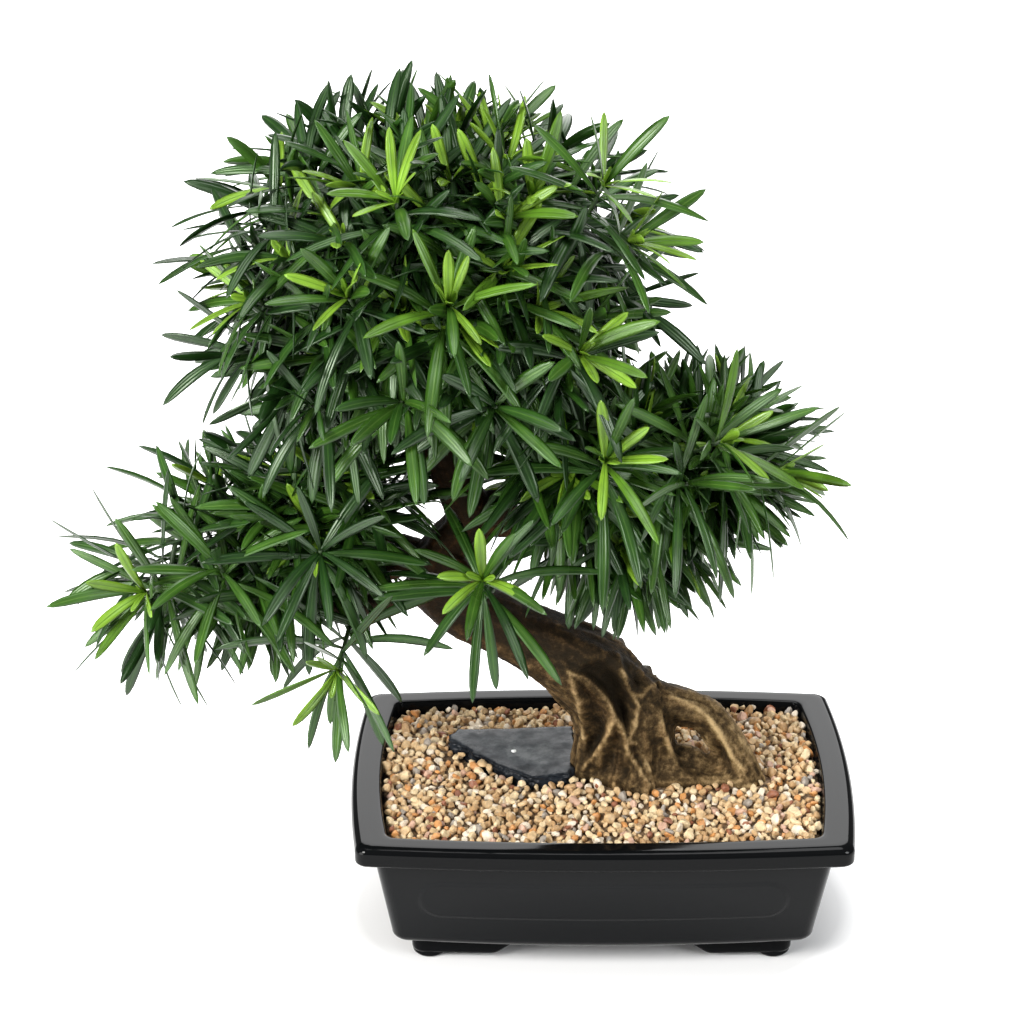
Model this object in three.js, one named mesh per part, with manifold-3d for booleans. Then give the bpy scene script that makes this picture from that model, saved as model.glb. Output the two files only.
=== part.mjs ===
// An artificial bonsai: a moulded podocarpus in a glazed oblong pot, dressed with gravel.
// Millimetres, +Z up, front towards -Y. Everything is laid out from the middle of the pot's foot,
// and the whole tree is moved at the end so that the origin is under the middle of its own box.
import * as THREE from 'three';
import { mergeVertices } from 'three/addons/utils/BufferGeometryUtils.js';
import Module from 'manifold-3d';

const wasm = await Module();
wasm.setup();

const V = (x, y, z) => new THREE.Vector3(x, y, z);
const UP = V(0, 0, 1);
const GOLDEN = Math.PI * (3 - Math.sqrt(5));

// Clearances
const SEAT = 0.3;
const LEAF_CLEAR = 0.6;
const SHORT_EDGE = 0.02;

// Pot
const RIM_LONG = 275;
const RIM_DEEP = 177;
const RIM_TOP = 93.5;
const LIP_DEPTH = 12;
const LIP_WIDE = 17;
const LIP_NARROW = 13.5;
const LIP_PROFILE = [[2.5, 0], [0.6, 1], [0, 3], [0, 7.2], [1.3, 10.6], [4.6, LIP_DEPTH]]; // inset, height
const COVE_DEPTH = 1;
const COVE_HEIGHT = 3;
const SIDE_BOW = 5.2;
const CORNER = 7;
const BODY_INSET = 10.2;
const BODY_TAPER = 8.6;
const BODY_BOTTOM = 18;
const BOTTOM_ROUND = 8;
const BOTTOM_BEVEL = [0.35, 0.2]; // the round corner's middle point, as shares of its inset and height
const CAVITY_FLOOR = 25;
const CAVITY_TAPER = 9;
const MOUTH_FLARE = 2;
const APRON_LONG = 216;
const APRON_DEEP = 113;
const APRON_WALL = 11;
const APRON_LOW = 4;
const APRON_BOW = 2;
const ARCH_TOP = 92;
const ARCH_LOW = 114;
const ARCH_RISE = 9;
const SIDE_ARCH_TOP = 40;
const SIDE_ARCH_LOW = 56;
const PAD_RADIUS = 9.8;
const PAD_X = 98;
const PAD_Y = 46;
const PAD_SIDES = 10;
const PAD_BEVEL = 1.5;
const CUT_OVER = 1; // how far a cutter runs past what it cuts

// Filling, gravel and slab
const GRAVEL_FLOOR = 78;
const GRAVEL_TOP = 90;
const GRAVEL_HEAP = 8;
const GRAVEL_BUMP = 1.5;
const GRAVEL_SEED = 5;
const PEBBLE_SPACING = 7.6; // between the points that stand for the largest pebbles
const HEAP_AT = { x: 22, y: -14, halfX: 58, halfY: 32 };
const SLAB_TOP = 97.5;
const SLAB_OUTLINE = [
  [-88, 25], [-60, -6], [-40, -21], [-18, -20], [-12, 6], [-16, 36], [-52, 39], [-84, 37],
];
const SLAB_MIDDLE = [-48, 12];
const SLAB_SPREAD = 1.5;
const SLAB_NARROWS = 2;
const SLAB_RISE = { height: 3, fromX: -50, toX: -14 }; // it curves up into the trunk

// Trunk and roots: middle of each section and its radius
const TRUNK_SIDES = 12;
const TRUNK_STEPS = 22;
const TRUNK_FLUTE = 0.06;
const TRUNK_FLUTES = 5;
const TRUNK_TWIST = 7;
const TRUNK_FLAT = 0.74; // depth over width at the foot, round again by FLAT_UNTIL of its height
const FLAT_UNTIL = 1 / 2.2;
const TRUNK = [
  [10, 0, 74, 30], [13, 0, 100, 29.5], [14, 0, 122, 28.5], [5, 0, 142, 26], [-10, 0, 158, 24],
  [-30, 0, 171, 20], [-58, 0, 186, 17.5], [-82, 0, 199, 16], [-95, 0, 216, 15],
  [-86, 0, 234, 14], [-75, 0, 250, 13], [-80, 0, 270, 12], [-89, 0, 296, 11],
  [-86, 0, 330, 10], [-84, 0, 362, 9],
];
const ROOTS = [
  [
    [86, -6, 74, 13], [79.5, -5, 92, 12], [69.5, -3, 114, 10.5], [57, -1, 129, 10.5],
    [35, 0, 136, 11.5], [10, 0, 146, 14],
  ],
  [[25, -28, 74, 9.5], [21, -23, 92, 8.5], [15, -14, 112, 9], [8, -4, 135, 10]],
  [[-16, -13, 74, 8.5], [-9, -9, 96, 7.5], [-3, -3, 124, 10.5]],
  [[8, 26, 74, 9.5], [8, 20, 93, 8.5], [6, 8, 120, 11]],
  [[16, -4, 92, 20], [46, -5, 92, 18.5], [60, -6, 88.5, 14.5], [80, -6, 88, 12.5]],
];
const HOLLOWS = [
  [
    [-12, -8, 184, 2], [-7, -16, 175, 7], [2, -19, 165, 8], [10, -20.5, 154, 8.5],
    [14, -22.5, 141, 5], [12, -23, 129, 2],
  ],
  [[-12, -20, 160, 2], [-5, -22, 152, 5.5], [-4, -22.5, 140, 6.5], [-8, -18, 124, 5], [-10, -16, 110, 2]],
  [[6, -22, 132, 2], [7, -23, 118, 5], [4, -23.5, 106, 6.5], [2, -23, 97, 2]],
  [[37, -13, 137, 2], [41, -14, 122, 6], [50, -16, 109, 7], [62, -16, 103, 3]],
];
const HOLLOW_SIDES = 6;
const HOLLOW_STEPS = 5;
const ROOT_SIDES = 8;
const ROOT_STEPS = 6;

// Boughs: each one limb, from inside the trunk to its tip
const BOUGH_SIDES = 6;
const BOUGH_STEPS = 3;
const BOUGHS = {
  crown_top: [[-84, 0, 362.3, 8.5], [-83, 0, 378, 7.5], [-86, 0, 396, 6]],
  crown_left: [[-86, 0, 337, 7], [-102, -1, 352, 6.5], [-119, -3, 370, 5]],
  crown_right: [[-86, 0, 323, 7], [-70, -1, 341, 6.5], [-54, -3, 364, 5]],
  crown_front: [[-87, 0, 308, 6.5], [-88, -18, 328, 6], [-89, -34, 352, 5]],
  crown_back: [[-85, 0, 348, 6.5], [-87, 18, 356, 6], [-89, 35, 368, 5]],
  left_far: [[-94, 0, 214, 7], [-122, -3, 203, 6], [-147, -6, 199, 5.5], [-182, -9, 205, 4.5]],
  left_near: [[-88, 0, 231, 6.5], [-112, -16, 230, 5.5], [-138, -28, 226, 4.5]],
  left_back: [[-90, 0, 228, 6.5], [-114, 16, 229, 5.5], [-140, 27, 227, 4.5]],
  right_far: [[-76, 0, 248, 7], [-30, -2, 249, 6], [0, -3, 258, 5.5], [34, -4, 268, 4.5]],
  right_near: [[-77, 0, 256, 6.5], [-44, -18, 262, 5.5], [-14, -30, 266, 4.5]],
  right_back: [[-77, 0, 258, 6.5], [-44, 18, 264, 5.5], [-14, 30, 269, 4.5]],
  front_low: [[-88, 0, 231, 6], [-78, -22, 231, 5.2], [-68, -40, 233, 4.5]],
};

// Clumps of foliage: middle, half sizes, how square its outline is (2 is an egg), number of sprigs,
// lowest and highest slope of them
const CLUMPS = [
  { centre: V(-94, 0, 400), half: V(141, 112, 104), square: 2.3, sprigs: 28, slope: [-0.78, 0.97], seed: 11 },
  { centre: V(-196, -6, 231), half: V(104, 88, 66), square: 2.2, sprigs: 12, slope: [-0.5, 0.9], seed: 23 },
  { centre: V(-150, -4, 274), half: V(86, 84, 64), square: 2.4, sprigs: 8, slope: [-0.5, 0.9], seed: 29 },
  { centre: V(12, 0, 262), half: V(92, 94, 76), square: 2.2, sprigs: 11, slope: [-0.6, 0.93], seed: 37 },
  { centre: V(54, -2, 293), half: V(70, 80, 52), square: 2.3, sprigs: 7, slope: [-0.4, 0.92], seed: 41 },
  { centre: V(-16, -26, 306), half: V(82, 80, 76), square: 2.2, sprigs: 4, slope: [-0.62, 0.4], seed: 8 },
  { centre: V(-58, -66, 234), half: V(66, 64, 66), square: 2, sprigs: 2, slope: [-0.6, 0.3], seed: 4 },
];

// Sprigs that show singly in front: clump, where it is and where it points
const KEY_SPRIGS = [
  [0, V(-131, -78, 410), V(-0.25, -0.6, 0.75)], [0, V(-84, -86, 408), V(0.15, -0.55, 0.8)],
  [0, V(-178, -40, 394), V(-0.75, -0.4, 0.5)], [0, V(8, -40, 426), V(0.75, -0.35, 0.55)],
  [0, V(-20, -76, 380), V(0.35, -0.7, 0.6)], [0, V(-150, -66, 348), V(-0.45, -0.7, 0.4)],
  [1, V(-241, -50, 228), V(-0.6, -0.55, 0.5)], [1, V(-205, -66, 254), V(-0.1, -0.6, 0.8)],
  [1, V(-143, -74, 203), V(-0.1, -0.9, -0.1)], [1, V(-231, -46, 222), V(-0.1, -0.5, -0.7)],
  [6, V(-66, -89, 258), V(0, -0.75, 0.65)], [5, V(-4, -83, 322), V(0.1, -0.7, 0.7)],
  [4, V(80, -42, 300), V(0.9, -0.3, 0.15)],
];
const KEY_APART = 26;
const CLUMP_OVER = 1.04; // how far leaf tips may pass their clump's outline
const KEY_OVER = 1.4;

// Masses: the middle that each one's twigs spread from; a sprig belongs to the nearest
const HUBS = {
  crown_top: V(-86, 0, 430),
  crown_left: V(-140, -4, 390),
  crown_right: V(-34, -4, 390),
  crown_front: V(-88, -52, 384),
  crown_back: V(-88, 52, 386),
  left_far: V(-218, -11, 216),
  left_near: V(-170, -38, 224),
  left_back: V(-172, 32, 226),
  right_far: V(60, -5, 273),
  right_near: V(12, -36, 270),
  right_back: V(12, 36, 274),
  front_low: V(-62, -52, 235),
};

// Leaves and twigs
const LEAF_LENGTH = 65;
const LEAF_YOUNG = 0.76;
const LEAF_WIDTH = 12.5;
const LEAF_THICK = 1.3;
const LEAF_BELLY = 0.45;
const LEAF_SINK = 1.2;
const LEAF_TRIES = 9;
const LEAF_TURN_AGAIN = 0.5;
const LEAF_VARIES = 0.12;
const LEAF_CUTS = 4;
const LEAF_CUT = 0.88;
const DROOP_LOW = 0.5; // at the sprig's tail, and at its head
const DROOP_HIGH = 0.2;
const PITCH_LOW = 104; // degrees from the sprig's axis, at its tail and at its head
const PITCH_HIGH = 26;
const PITCH_VARIES = 14;
const LEAVES_PER_SPRIG = 8;
const LEAVES_FROM = 0.06;
const LEAVES_OVER = 0.9;
const SPRIG_TAIL = 28;
const SPRIG_HEAD = 8;
const SPRIG_REACH = 50;
const SPRIG_REACH_VARIES = 8;
const SPRIG_TURN_VARIES = 0.3;
const SPRIG_LIFT = 0.85;
const POT_CLEAR = { side: 8, top: 6 };
const LIMB_BULGE = 1.1;
const FORK_TRIES = 5;
const TWIG_ROOT = 2.8;
const TWIG_TIP = 2.5;
const STEM_ROOT = 4.2;
const STEM_TIP = 3.2;
const COLLAR = 6;
const UPRIGHT = 0.85; // a direction with more of Z than this is turned about X instead
const MASS_SEED = 97;
const PARALLEL = 1e-9;

// Seeded numbers from 0 to 1
function randomFrom(seed) {
  let state = seed;
  return () => {
    state = (state + 0x6d2b79f5) | 0;
    let t = Math.imul(state ^ (state >>> 15), 1 | state);
    t = (t + Math.imul(t ^ (t >>> 7), 61 | t)) ^ t;
    return ((t ^ (t >>> 14)) >>> 0) / 4294967296;
  };
}

// Closed body from its points and triangles
function bodyOf(points, triangles) {
  const geometry = new THREE.BufferGeometry();
  const places = points.flatMap((p) => [p.x, p.y, p.z]);
  geometry.setAttribute('position', new THREE.Float32BufferAttribute(places, 3));
  geometry.setIndex(triangles);
  return geometry;
}

// Solid for joining and cutting
function solidOf(geometry) {
  const bare = geometry.clone();
  bare.deleteAttribute('normal');
  bare.deleteAttribute('uv');
  const merged = mergeVertices(bare, 1e-4);
  const mesh = new wasm.Mesh({
    numProp: 3,
    vertProperties: new Float32Array(merged.attributes.position.array),
    triVerts: new Uint32Array(merged.index.array),
  });
  return new wasm.Manifold(mesh);
}

// Geometry of a solid, without the hair-short edges that cuts leave
function geometryOf(solid) {
  const mesh = solid.getMesh();
  const points = [];
  for (let i = 0; i < mesh.vertProperties.length; i += 3) {
    points.push(V(mesh.vertProperties[i], mesh.vertProperties[i + 1], mesh.vertProperties[i + 2]));
  }
  let faces = [];
  for (let i = 0; i < mesh.triVerts.length; i += 3) faces.push(Array.from(mesh.triVerts.slice(i, i + 3)));
  for (let count = -1; count !== faces.length;) {
    count = faces.length;
    faces = closedUp(points, faces);
  }
  const geometry = bodyOf(points, faces.flat());
  geometry.computeVertexNormals();
  return geometry;
}

// Faces after each short edge whose ends share just two neighbours is closed up to a point
function closedUp(points, faces) {
  const around = points.map(() => new Set());
  faces.forEach((face) => face.forEach((a) => face.forEach((b) => a !== b && around[a].add(b))));
  const busy = new Set();
  const standsFor = points.map((_, i) => i);
  around.forEach((near, a) => near.forEach((b) => {
    if (a > b || points[a].distanceTo(points[b]) > SHORT_EDGE) return;
    const reach = [a, b, ...around[a], ...around[b]];
    const shared = [...around[a]].filter((c) => around[b].has(c));
    if (shared.length !== 2 || reach.some((c) => busy.has(c))) return;
    reach.forEach((c) => busy.add(c));
    standsFor[b] = a;
  }));
  return faces
    .map((face) => face.map((i) => standsFor[i]))
    .filter(([a, b, c]) => a !== b && b !== c && c !== a);
}

// The largest body of a solid, with scraps dropped and sealed hollows filled
function largestBody(solid) {
  return solid.decompose().reduce((a, b) => (b.volume() > a.volume() ? b : a));
}

// Join a list of solids two by two
function joined(solids) {
  let list = solids;
  while (list.length > 1) {
    const next = [];
    for (let i = 0; i < list.length; i += 2) {
      next.push(i + 1 < list.length ? list[i].add(list[i + 1]) : list[i]);
    }
    list = next;
  }
  return list[0];
}

// Body through rings of equal count that turn anticlockwise seen from the last ring
function loft(rings) {
  const n = rings[0].length;
  const points = rings.flat();
  const triangles = [];
  for (let r = 0; r + 1 < rings.length; r += 1) {
    for (let i = 0; i < n; i += 1) {
      const a = r * n + i;
      const b = r * n + ((i + 1) % n);
      triangles.push(a, b, b + n, a, b + n, a + n);
    }
  }
  const first = points.length;
  points.push(middleOf(rings[0]), middleOf(rings[rings.length - 1]));
  const top = (rings.length - 1) * n;
  for (let i = 0; i < n; i += 1) {
    const j = (i + 1) % n;
    triangles.push(first, j, i, first + 1, top + i, top + j);
  }
  return bodyOf(points, triangles);
}

function middleOf(ring) {
  const sum = V(0, 0, 0);
  ring.forEach((p) => sum.add(p));
  return sum.divideScalar(ring.length);
}

// Tapering limb through [x, y, z, radius] stations; section(angle, along) scales its radius
function limb(stations, sides, steps, grow = 0, section = () => [1, 1]) {
  const curve = new THREE.CatmullRomCurve3(stations.map((s) => V(s[0], s[1], s[2])), false, 'centripetal');
  const frames = curve.computeFrenetFrames(steps, false);
  const rings = [];
  for (let k = 0; k <= steps; k += 1) {
    const along = k / steps;
    const middle = curve.getPointAt(along);
    const radius = radiusAt(stations, curve.getUtoTmapping(along)) + grow;
    const ring = [];
    for (let i = 0; i < sides; i += 1) {
      const angle = (2 * Math.PI * i) / sides;
      const [front, side] = section(angle, along);
      ring.push(middle.clone()
        .addScaledVector(frames.normals[k], radius * front * Math.cos(angle))
        .addScaledVector(frames.binormals[k], radius * side * Math.sin(angle)));
    }
    rings.push(ring);
  }
  return loft(rings);
}

function radiusAt(stations, t) {
  const place = t * (stations.length - 1);
  const i = Math.min(Math.floor(place), stations.length - 2);
  return THREE.MathUtils.lerp(stations[i][3], stations[i + 1][3], place - i);
}

// Oblong ring with bowed sides and round corners
function oblong(halfX, halfY, z, bow = SIDE_BOW) {
  const ring = [];
  const cornerSteps = 2;
  const longSteps = 6;
  const shortSteps = 4;
  const quarter = (fromX, fromY, from) => {
    for (let i = 0; i <= cornerSteps; i += 1) {
      const a = from + (Math.PI / 2) * (i / cornerSteps);
      ring.push(V(fromX + CORNER * Math.cos(a), fromY + CORNER * Math.sin(a), z));
    }
  };
  const side = (fromX, fromY, toX, toY, outX, outY, steps) => {
    for (let i = 1; i < steps; i += 1) {
      const t = i / steps;
      const out = bow * (1 - (2 * t - 1) ** 2);
      ring.push(V(fromX + (toX - fromX) * t + outX * out, fromY + (toY - fromY) * t + outY * out, z));
    }
  };
  const cx = halfX - CORNER;
  const cy = halfY - CORNER;
  quarter(cx, cy, 0);
  side(cx, halfY, -cx, halfY, 0, 1, longSteps);
  quarter(-cx, cy, Math.PI / 2);
  side(-halfX, cy, -halfX, -cy, -1, 0, shortSteps);
  quarter(-cx, -cy, Math.PI);
  side(-cx, -halfY, cx, -halfY, 0, -1, longSteps);
  quarter(cx, -cy, 1.5 * Math.PI);
  side(halfX, -cy, halfX, cy, 1, 0, shortSteps);
  return ring;
}

// Ring of the pot's outside, given how far it stands in from the rim
function outsideRing(inset, z) {
  return oblong(RIM_LONG / 2 - inset, RIM_DEEP / 2 - inset, z);
}

// Ring of the pot's inside wall, which leans in towards its floor
function cavityRing(z, gap = 0) {
  const lean = (CAVITY_TAPER * (RIM_TOP - z)) / (RIM_TOP - CAVITY_FLOOR);
  return oblong(RIM_LONG / 2 - LIP_WIDE - lean - gap, RIM_DEEP / 2 - LIP_NARROW - lean - gap, z);
}

// Wedge that cuts an arch through the apron, wider at its foot
function arch(topWidth, lowWidth, reach, turn) {
  const shape = new THREE.Shape();
  const low = APRON_LOW - CUT_OVER;
  shape.moveTo(-lowWidth / 2, low);
  shape.lineTo(lowWidth / 2, low);
  shape.lineTo(topWidth / 2, APRON_LOW + ARCH_RISE);
  shape.lineTo(-topWidth / 2, APRON_LOW + ARCH_RISE);
  shape.closePath();
  const wedge = new THREE.ExtrudeGeometry(shape, { depth: reach, bevelEnabled: false });
  wedge.translate(0, 0, -reach / 2).rotateX(Math.PI / 2).rotateZ(turn);
  return solidOf(wedge);
}

// Glazed pot: lip, leaning body, apron and pads
function pot() {
  const lipLow = RIM_TOP - LIP_DEPTH;
  const foot = BODY_INSET + BODY_TAPER;
  const [bevelIn, bevelUp] = BOTTOM_BEVEL;
  const outside = [
    outsideRing(foot + BOTTOM_ROUND, BODY_BOTTOM),
    outsideRing(foot + BOTTOM_ROUND * bevelIn, BODY_BOTTOM + BOTTOM_ROUND * bevelUp),
    outsideRing(foot, BODY_BOTTOM + BOTTOM_ROUND),
    outsideRing(BODY_INSET, lipLow - COVE_HEIGHT),
    outsideRing(BODY_INSET + COVE_DEPTH, lipLow),
    ...LIP_PROFILE.map(([inset, height]) => outsideRing(inset, lipLow + height)),
  ];
  const cavity = [
    cavityRing(CAVITY_FLOOR),
    cavityRing(RIM_TOP - MOUTH_FLARE),
    cavityRing(RIM_TOP, -MOUTH_FLARE),
    cavityRing(RIM_TOP + MOUTH_FLARE, -MOUTH_FLARE),
  ];
  const shell = solidOf(loft(outside)).subtract(solidOf(loft(cavity)));
  return geometryOf(pads().reduce((body, pad) => body.add(pad), shell.add(apron())));
}

// Low wall under the body, with an arch through each side
function apron() {
  const ring = (inset, z) => oblong(APRON_LONG / 2 - inset, APRON_DEEP / 2 - inset, z, APRON_BOW);
  const top = BODY_BOTTOM + CUT_OVER;
  const wall = solidOf(loft([ring(0, APRON_LOW), ring(0, top)]));
  const hollow = solidOf(loft([ring(APRON_WALL, APRON_LOW - CUT_OVER), ring(APRON_WALL, top + CUT_OVER)]));
  return wall
    .subtract(hollow)
    .subtract(arch(ARCH_TOP, ARCH_LOW, RIM_DEEP, 0))
    .subtract(arch(SIDE_ARCH_TOP, SIDE_ARCH_LOW, RIM_LONG, Math.PI / 2));
}

// Four round pads that the pot stands on
function pads() {
  const top = APRON_LOW + PAD_BEVEL;
  const profile = [
    [0, 0], [PAD_RADIUS - PAD_BEVEL, 0], [PAD_RADIUS, PAD_BEVEL], [PAD_RADIUS - PAD_BEVEL / 2, top], [0, top],
  ];
  const places = [-PAD_X, PAD_X].flatMap((x) => [-PAD_Y, PAD_Y].map((y) => [x, y]));
  return places.map(([x, y]) => {
    const pad = new THREE.LatheGeometry(profile.map(([r, z]) => new THREE.Vector2(r, z)), PAD_SIDES);
    return solidOf(pad.rotateX(Math.PI / 2).translate(x, y, 0));
  });
}

// Hard filling that holds the tree down, under the gravel
function filling() {
  return loft([cavityRing(CAVITY_FLOOR + SEAT, SEAT), cavityRing(GRAVEL_FLOOR, SEAT)]);
}

// Space of the trunk with its roots, cut flat at the foot
function trunkSpace(grow) {
  const flutes = (angle, along) => {
    const wave = 1 + TRUNK_FLUTE * Math.cos(TRUNK_FLUTES * angle + TRUNK_TWIST * along);
    const flat = THREE.MathUtils.lerp(TRUNK_FLAT, 1, Math.min(1, along / FLAT_UNTIL));
    return [wave * flat, wave];
  };
  const stem = solidOf(limb(TRUNK, TRUNK_SIDES, TRUNK_STEPS, grow, flutes));
  const roots = ROOTS.map((root) => solidOf(limb(root, ROOT_SIDES, ROOT_STEPS, grow)));
  const foot = GRAVEL_FLOOR + SEAT - grow;
  const below = new THREE.BoxGeometry(2 * RIM_LONG, 2 * RIM_LONG, foot).translate(0, 0, foot / 2);
  return joined([stem, ...roots]).subtract(solidOf(below));
}

// Trunk with the main hollows between its moulded ridges
function trunk() {
  const hollows = HOLLOWS.map((hollow) => solidOf(limb(hollow, HOLLOW_SIDES, HOLLOW_STEPS)));
  return trunkSpace(0).subtract(joined(hollows));
}

// Slate-like slab moulded beside the trunk, broken along its front edge
function slab(grow) {
  const middle = V(SLAB_MIDDLE[0], SLAB_MIDDLE[1], 0);
  const ring = (z, spread, rise) => SLAB_OUTLINE.map(([x, y]) => {
    const out = V(x, y, 0).sub(middle);
    out.setLength(out.length() + spread + grow);
    const lift = rise * THREE.MathUtils.smoothstep(x, SLAB_RISE.fromX, SLAB_RISE.toX);
    return V(middle.x + out.x, middle.y + out.y, z + lift);
  });
  const low = ring(GRAVEL_FLOOR + SEAT - grow, SLAB_SPREAD, 0);
  const high = ring(SLAB_TOP + grow, -SLAB_NARROWS, SLAB_RISE.height);
  return solidOf(loft([low, high]));
}

// Height of the gravel, heaped round the foot of the trunk
function gravelHeight(x, y) {
  const away = Math.hypot((x - HEAP_AT.x) / HEAP_AT.halfX, (y - HEAP_AT.y) / HEAP_AT.halfY);
  return GRAVEL_TOP + GRAVEL_HEAP * Math.exp(-away * away);
}

// Gravel bed: the pot's inside under a staggered grid of points, up and down like its pebbles
function gravelBed() {
  const random = randomFrom(GRAVEL_SEED);
  const bump = () => GRAVEL_BUMP * (2 * random() - 1);
  const columns = Math.ceil(RIM_LONG / PEBBLE_SPACING);
  const rows = Math.ceil(RIM_DEEP / PEBBLE_SPACING);
  const points = [];
  for (let r = 0; r < rows; r += 1) {
    for (let c = 0; c < columns; c += 1) {
      const x = (c + (r % 2) / 2 - columns / 2) * PEBBLE_SPACING;
      const y = (r - (rows - 1) / 2) * PEBBLE_SPACING;
      points.push(V(x, y, gravelHeight(x, y) + bump()));
    }
  }
  const triangles = [];
  for (let r = 0; r + 1 < rows; r += 1) {
    for (let c = 0; c + 1 < columns; c += 1) {
      const a = r * columns + c;
      const [b, d, e] = [a + 1, a + columns, a + columns + 1];
      if (r % 2) triangles.push(a, b, e, a, e, d);
      else triangles.push(a, b, d, b, e, d);
    }
  }
  const rim = edgeOfGrid(columns, rows);
  const below = rim.map((i) => V(points[i].x, points[i].y, GRAVEL_FLOOR));
  const first = points.length;
  points.push(...below, V(0, 0, GRAVEL_FLOOR));
  rim.forEach((top, i) => {
    const next = (i + 1) % rim.length;
    triangles.push(top, first + i, rim[next], rim[next], first + i, first + next);
    triangles.push(first + i, first + rim.length, first + next);
  });
  const rings = [GRAVEL_FLOOR + SEAT, RIM_TOP + GRAVEL_HEAP].map((z) => cavityRing(z, SEAT));
  return solidOf(bodyOf(points, triangles)).intersect(solidOf(loft(rings)));
}

// Places of a grid's outer points in its list, anticlockwise
function edgeOfGrid(columns, rows) {
  const last = rows - 1;
  const front = Array.from({ length: columns - 1 }, (_, c) => c);
  const right = Array.from({ length: last }, (_, r) => r * columns + columns - 1);
  const back = Array.from({ length: columns - 1 }, (_, c) => last * columns + columns - 1 - c);
  const left = Array.from({ length: last }, (_, r) => (last - r) * columns);
  return [...front, ...right, ...back, ...left];
}

// Segments of all limbs with their radii, which twigs and leaves keep clear of
function limbSegments(stations) {
  const segments = [];
  for (let i = 0; i + 1 < stations.length; i += 1) {
    const [a, b] = [stations[i], stations[i + 1]];
    segments.push([V(a[0], a[1], a[2]), V(b[0], b[1], b[2]), Math.max(a[3], b[3])]);
  }
  return segments;
}

// Shortest distance between two straight stretches
function stretchDistance(p1, q1, p2, q2) {
  const d1 = q1.clone().sub(p1);
  const d2 = q2.clone().sub(p2);
  const r = p1.clone().sub(p2);
  const a = d1.lengthSq();
  const e = d2.lengthSq();
  const f = d2.dot(r);
  const c = d1.dot(r);
  const b = d1.dot(d2);
  const denom = a * e - b * b;
  let s = denom > PARALLEL ? THREE.MathUtils.clamp((b * f - c * e) / denom, 0, 1) : 0;
  let t = (b * s + f) / e;
  if (t < 0 || t > 1) {
    t = THREE.MathUtils.clamp(t, 0, 1);
    s = THREE.MathUtils.clamp((b * t - c) / a, 0, 1);
  }
  const onFirst = p1.clone().addScaledVector(d1, s);
  const onSecond = p2.clone().addScaledVector(d2, t);
  return onFirst.distanceTo(onSecond);
}

// Whether a point lies in a mass's own space: nearer its hub than any other, by a clear margin
function inSpace(name, point) {
  const own = HUBS[name];
  return Object.entries(HUBS).every(([other, hub]) => {
    if (other === name) return true;
    const across = hub.clone().sub(own);
    const half = across.length() / 2;
    return point.clone().sub(own).dot(across) / (2 * half) < half - LEAF_CLEAR;
  });
}

// Whether a stretch of a given half thickness misses every limb, the pot and the gravel
function missesLimbs(from, to, half, segments) {
  const low = Math.min(from.z, to.z);
  const overPot = Math.min(Math.abs(from.x), Math.abs(to.x)) < RIM_LONG / 2 + POT_CLEAR.side
    && Math.min(Math.abs(from.y), Math.abs(to.y)) < RIM_DEEP / 2 + POT_CLEAR.side;
  if (overPot && low < RIM_TOP + POT_CLEAR.top) return false;
  return segments.every(([a, b, r]) => stretchDistance(from, to, a, b) > r * LIMB_BULGE + half + LEAF_CLEAR);
}

// Leaf of eight faces: a point at its root, a flat four-cornered belly and a point at its tip
function leaf(root, tip, across) {
  const along = tip.clone().sub(root);
  const length = along.length();
  along.normalize();
  const side = across.clone().addScaledVector(along, -across.dot(along)).normalize();
  const through = along.clone().cross(side);
  const belly = root.clone().addScaledVector(along, length * LEAF_BELLY);
  const points = [
    root,
    belly.clone().addScaledVector(side, LEAF_WIDTH / 2),
    belly.clone().addScaledVector(through, LEAF_THICK / 2),
    belly.clone().addScaledVector(side, -LEAF_WIDTH / 2),
    belly.clone().addScaledVector(through, -LEAF_THICK / 2),
    tip,
  ];
  const triangles = [];
  for (let i = 0; i < 4; i += 1) {
    const a = 1 + i;
    const b = 1 + ((i + 1) % 4);
    triangles.push(0, b, a, 5, a, b);
  }
  return { points, geometry: bodyOf(points, triangles) };
}

// 1 on a clump's outline, less inside it
function outlineShare(clump, place) {
  const offset = place.clone().sub(clump.centre).divide(clump.half);
  const sum = [offset.x, offset.y, offset.z].reduce((all, s) => all + Math.abs(s) ** clump.square, 0);
  return sum ** (1 / clump.square);
}

function newSprig(clump, base, axis, turn, over) {
  const tail = base.clone().addScaledVector(axis, -SPRIG_TAIL);
  const head = base.clone().addScaledVector(axis, SPRIG_HEAD);
  return { clump, tail, head, axis, turn, over };
}

// A clump's sprigs: the key ones first, the rest turned round its outline by the golden angle
function sprigsOf(clump, number) {
  const random = randomFrom(clump.seed);
  const sprigs = KEY_SPRIGS
    .filter(([owner]) => owner === number)
    .map(([, at, axis]) => newSprig(clump, at, axis.clone().normalize(), 2 * Math.PI * random(), KEY_OVER));
  for (let i = 0; i < clump.sprigs; i += 1) {
    const slope = THREE.MathUtils.lerp(clump.slope[1], clump.slope[0], (i + 0.5) / clump.sprigs);
    const turn = i * GOLDEN + clump.seed + SPRIG_TURN_VARIES * (random() - 0.5);
    const level = Math.sqrt(1 - slope * slope);
    const out = V(level * Math.cos(turn), level * Math.sin(turn), slope);
    const reach = 1 / outlineShare(clump, clump.centre.clone().add(out));
    const inset = SPRIG_REACH + SPRIG_REACH_VARIES * random();
    const base = clump.centre.clone().addScaledVector(out, reach - inset);
    const start = 2 * Math.PI * random();
    if (KEY_SPRIGS.some(([, at]) => at.distanceTo(base) < KEY_APART)) continue;
    sprigs.push(newSprig(clump, base, out.addScaledVector(UP, SPRIG_LIFT).normalize(), start, CLUMP_OVER));
  }
  return sprigs;
}

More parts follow.
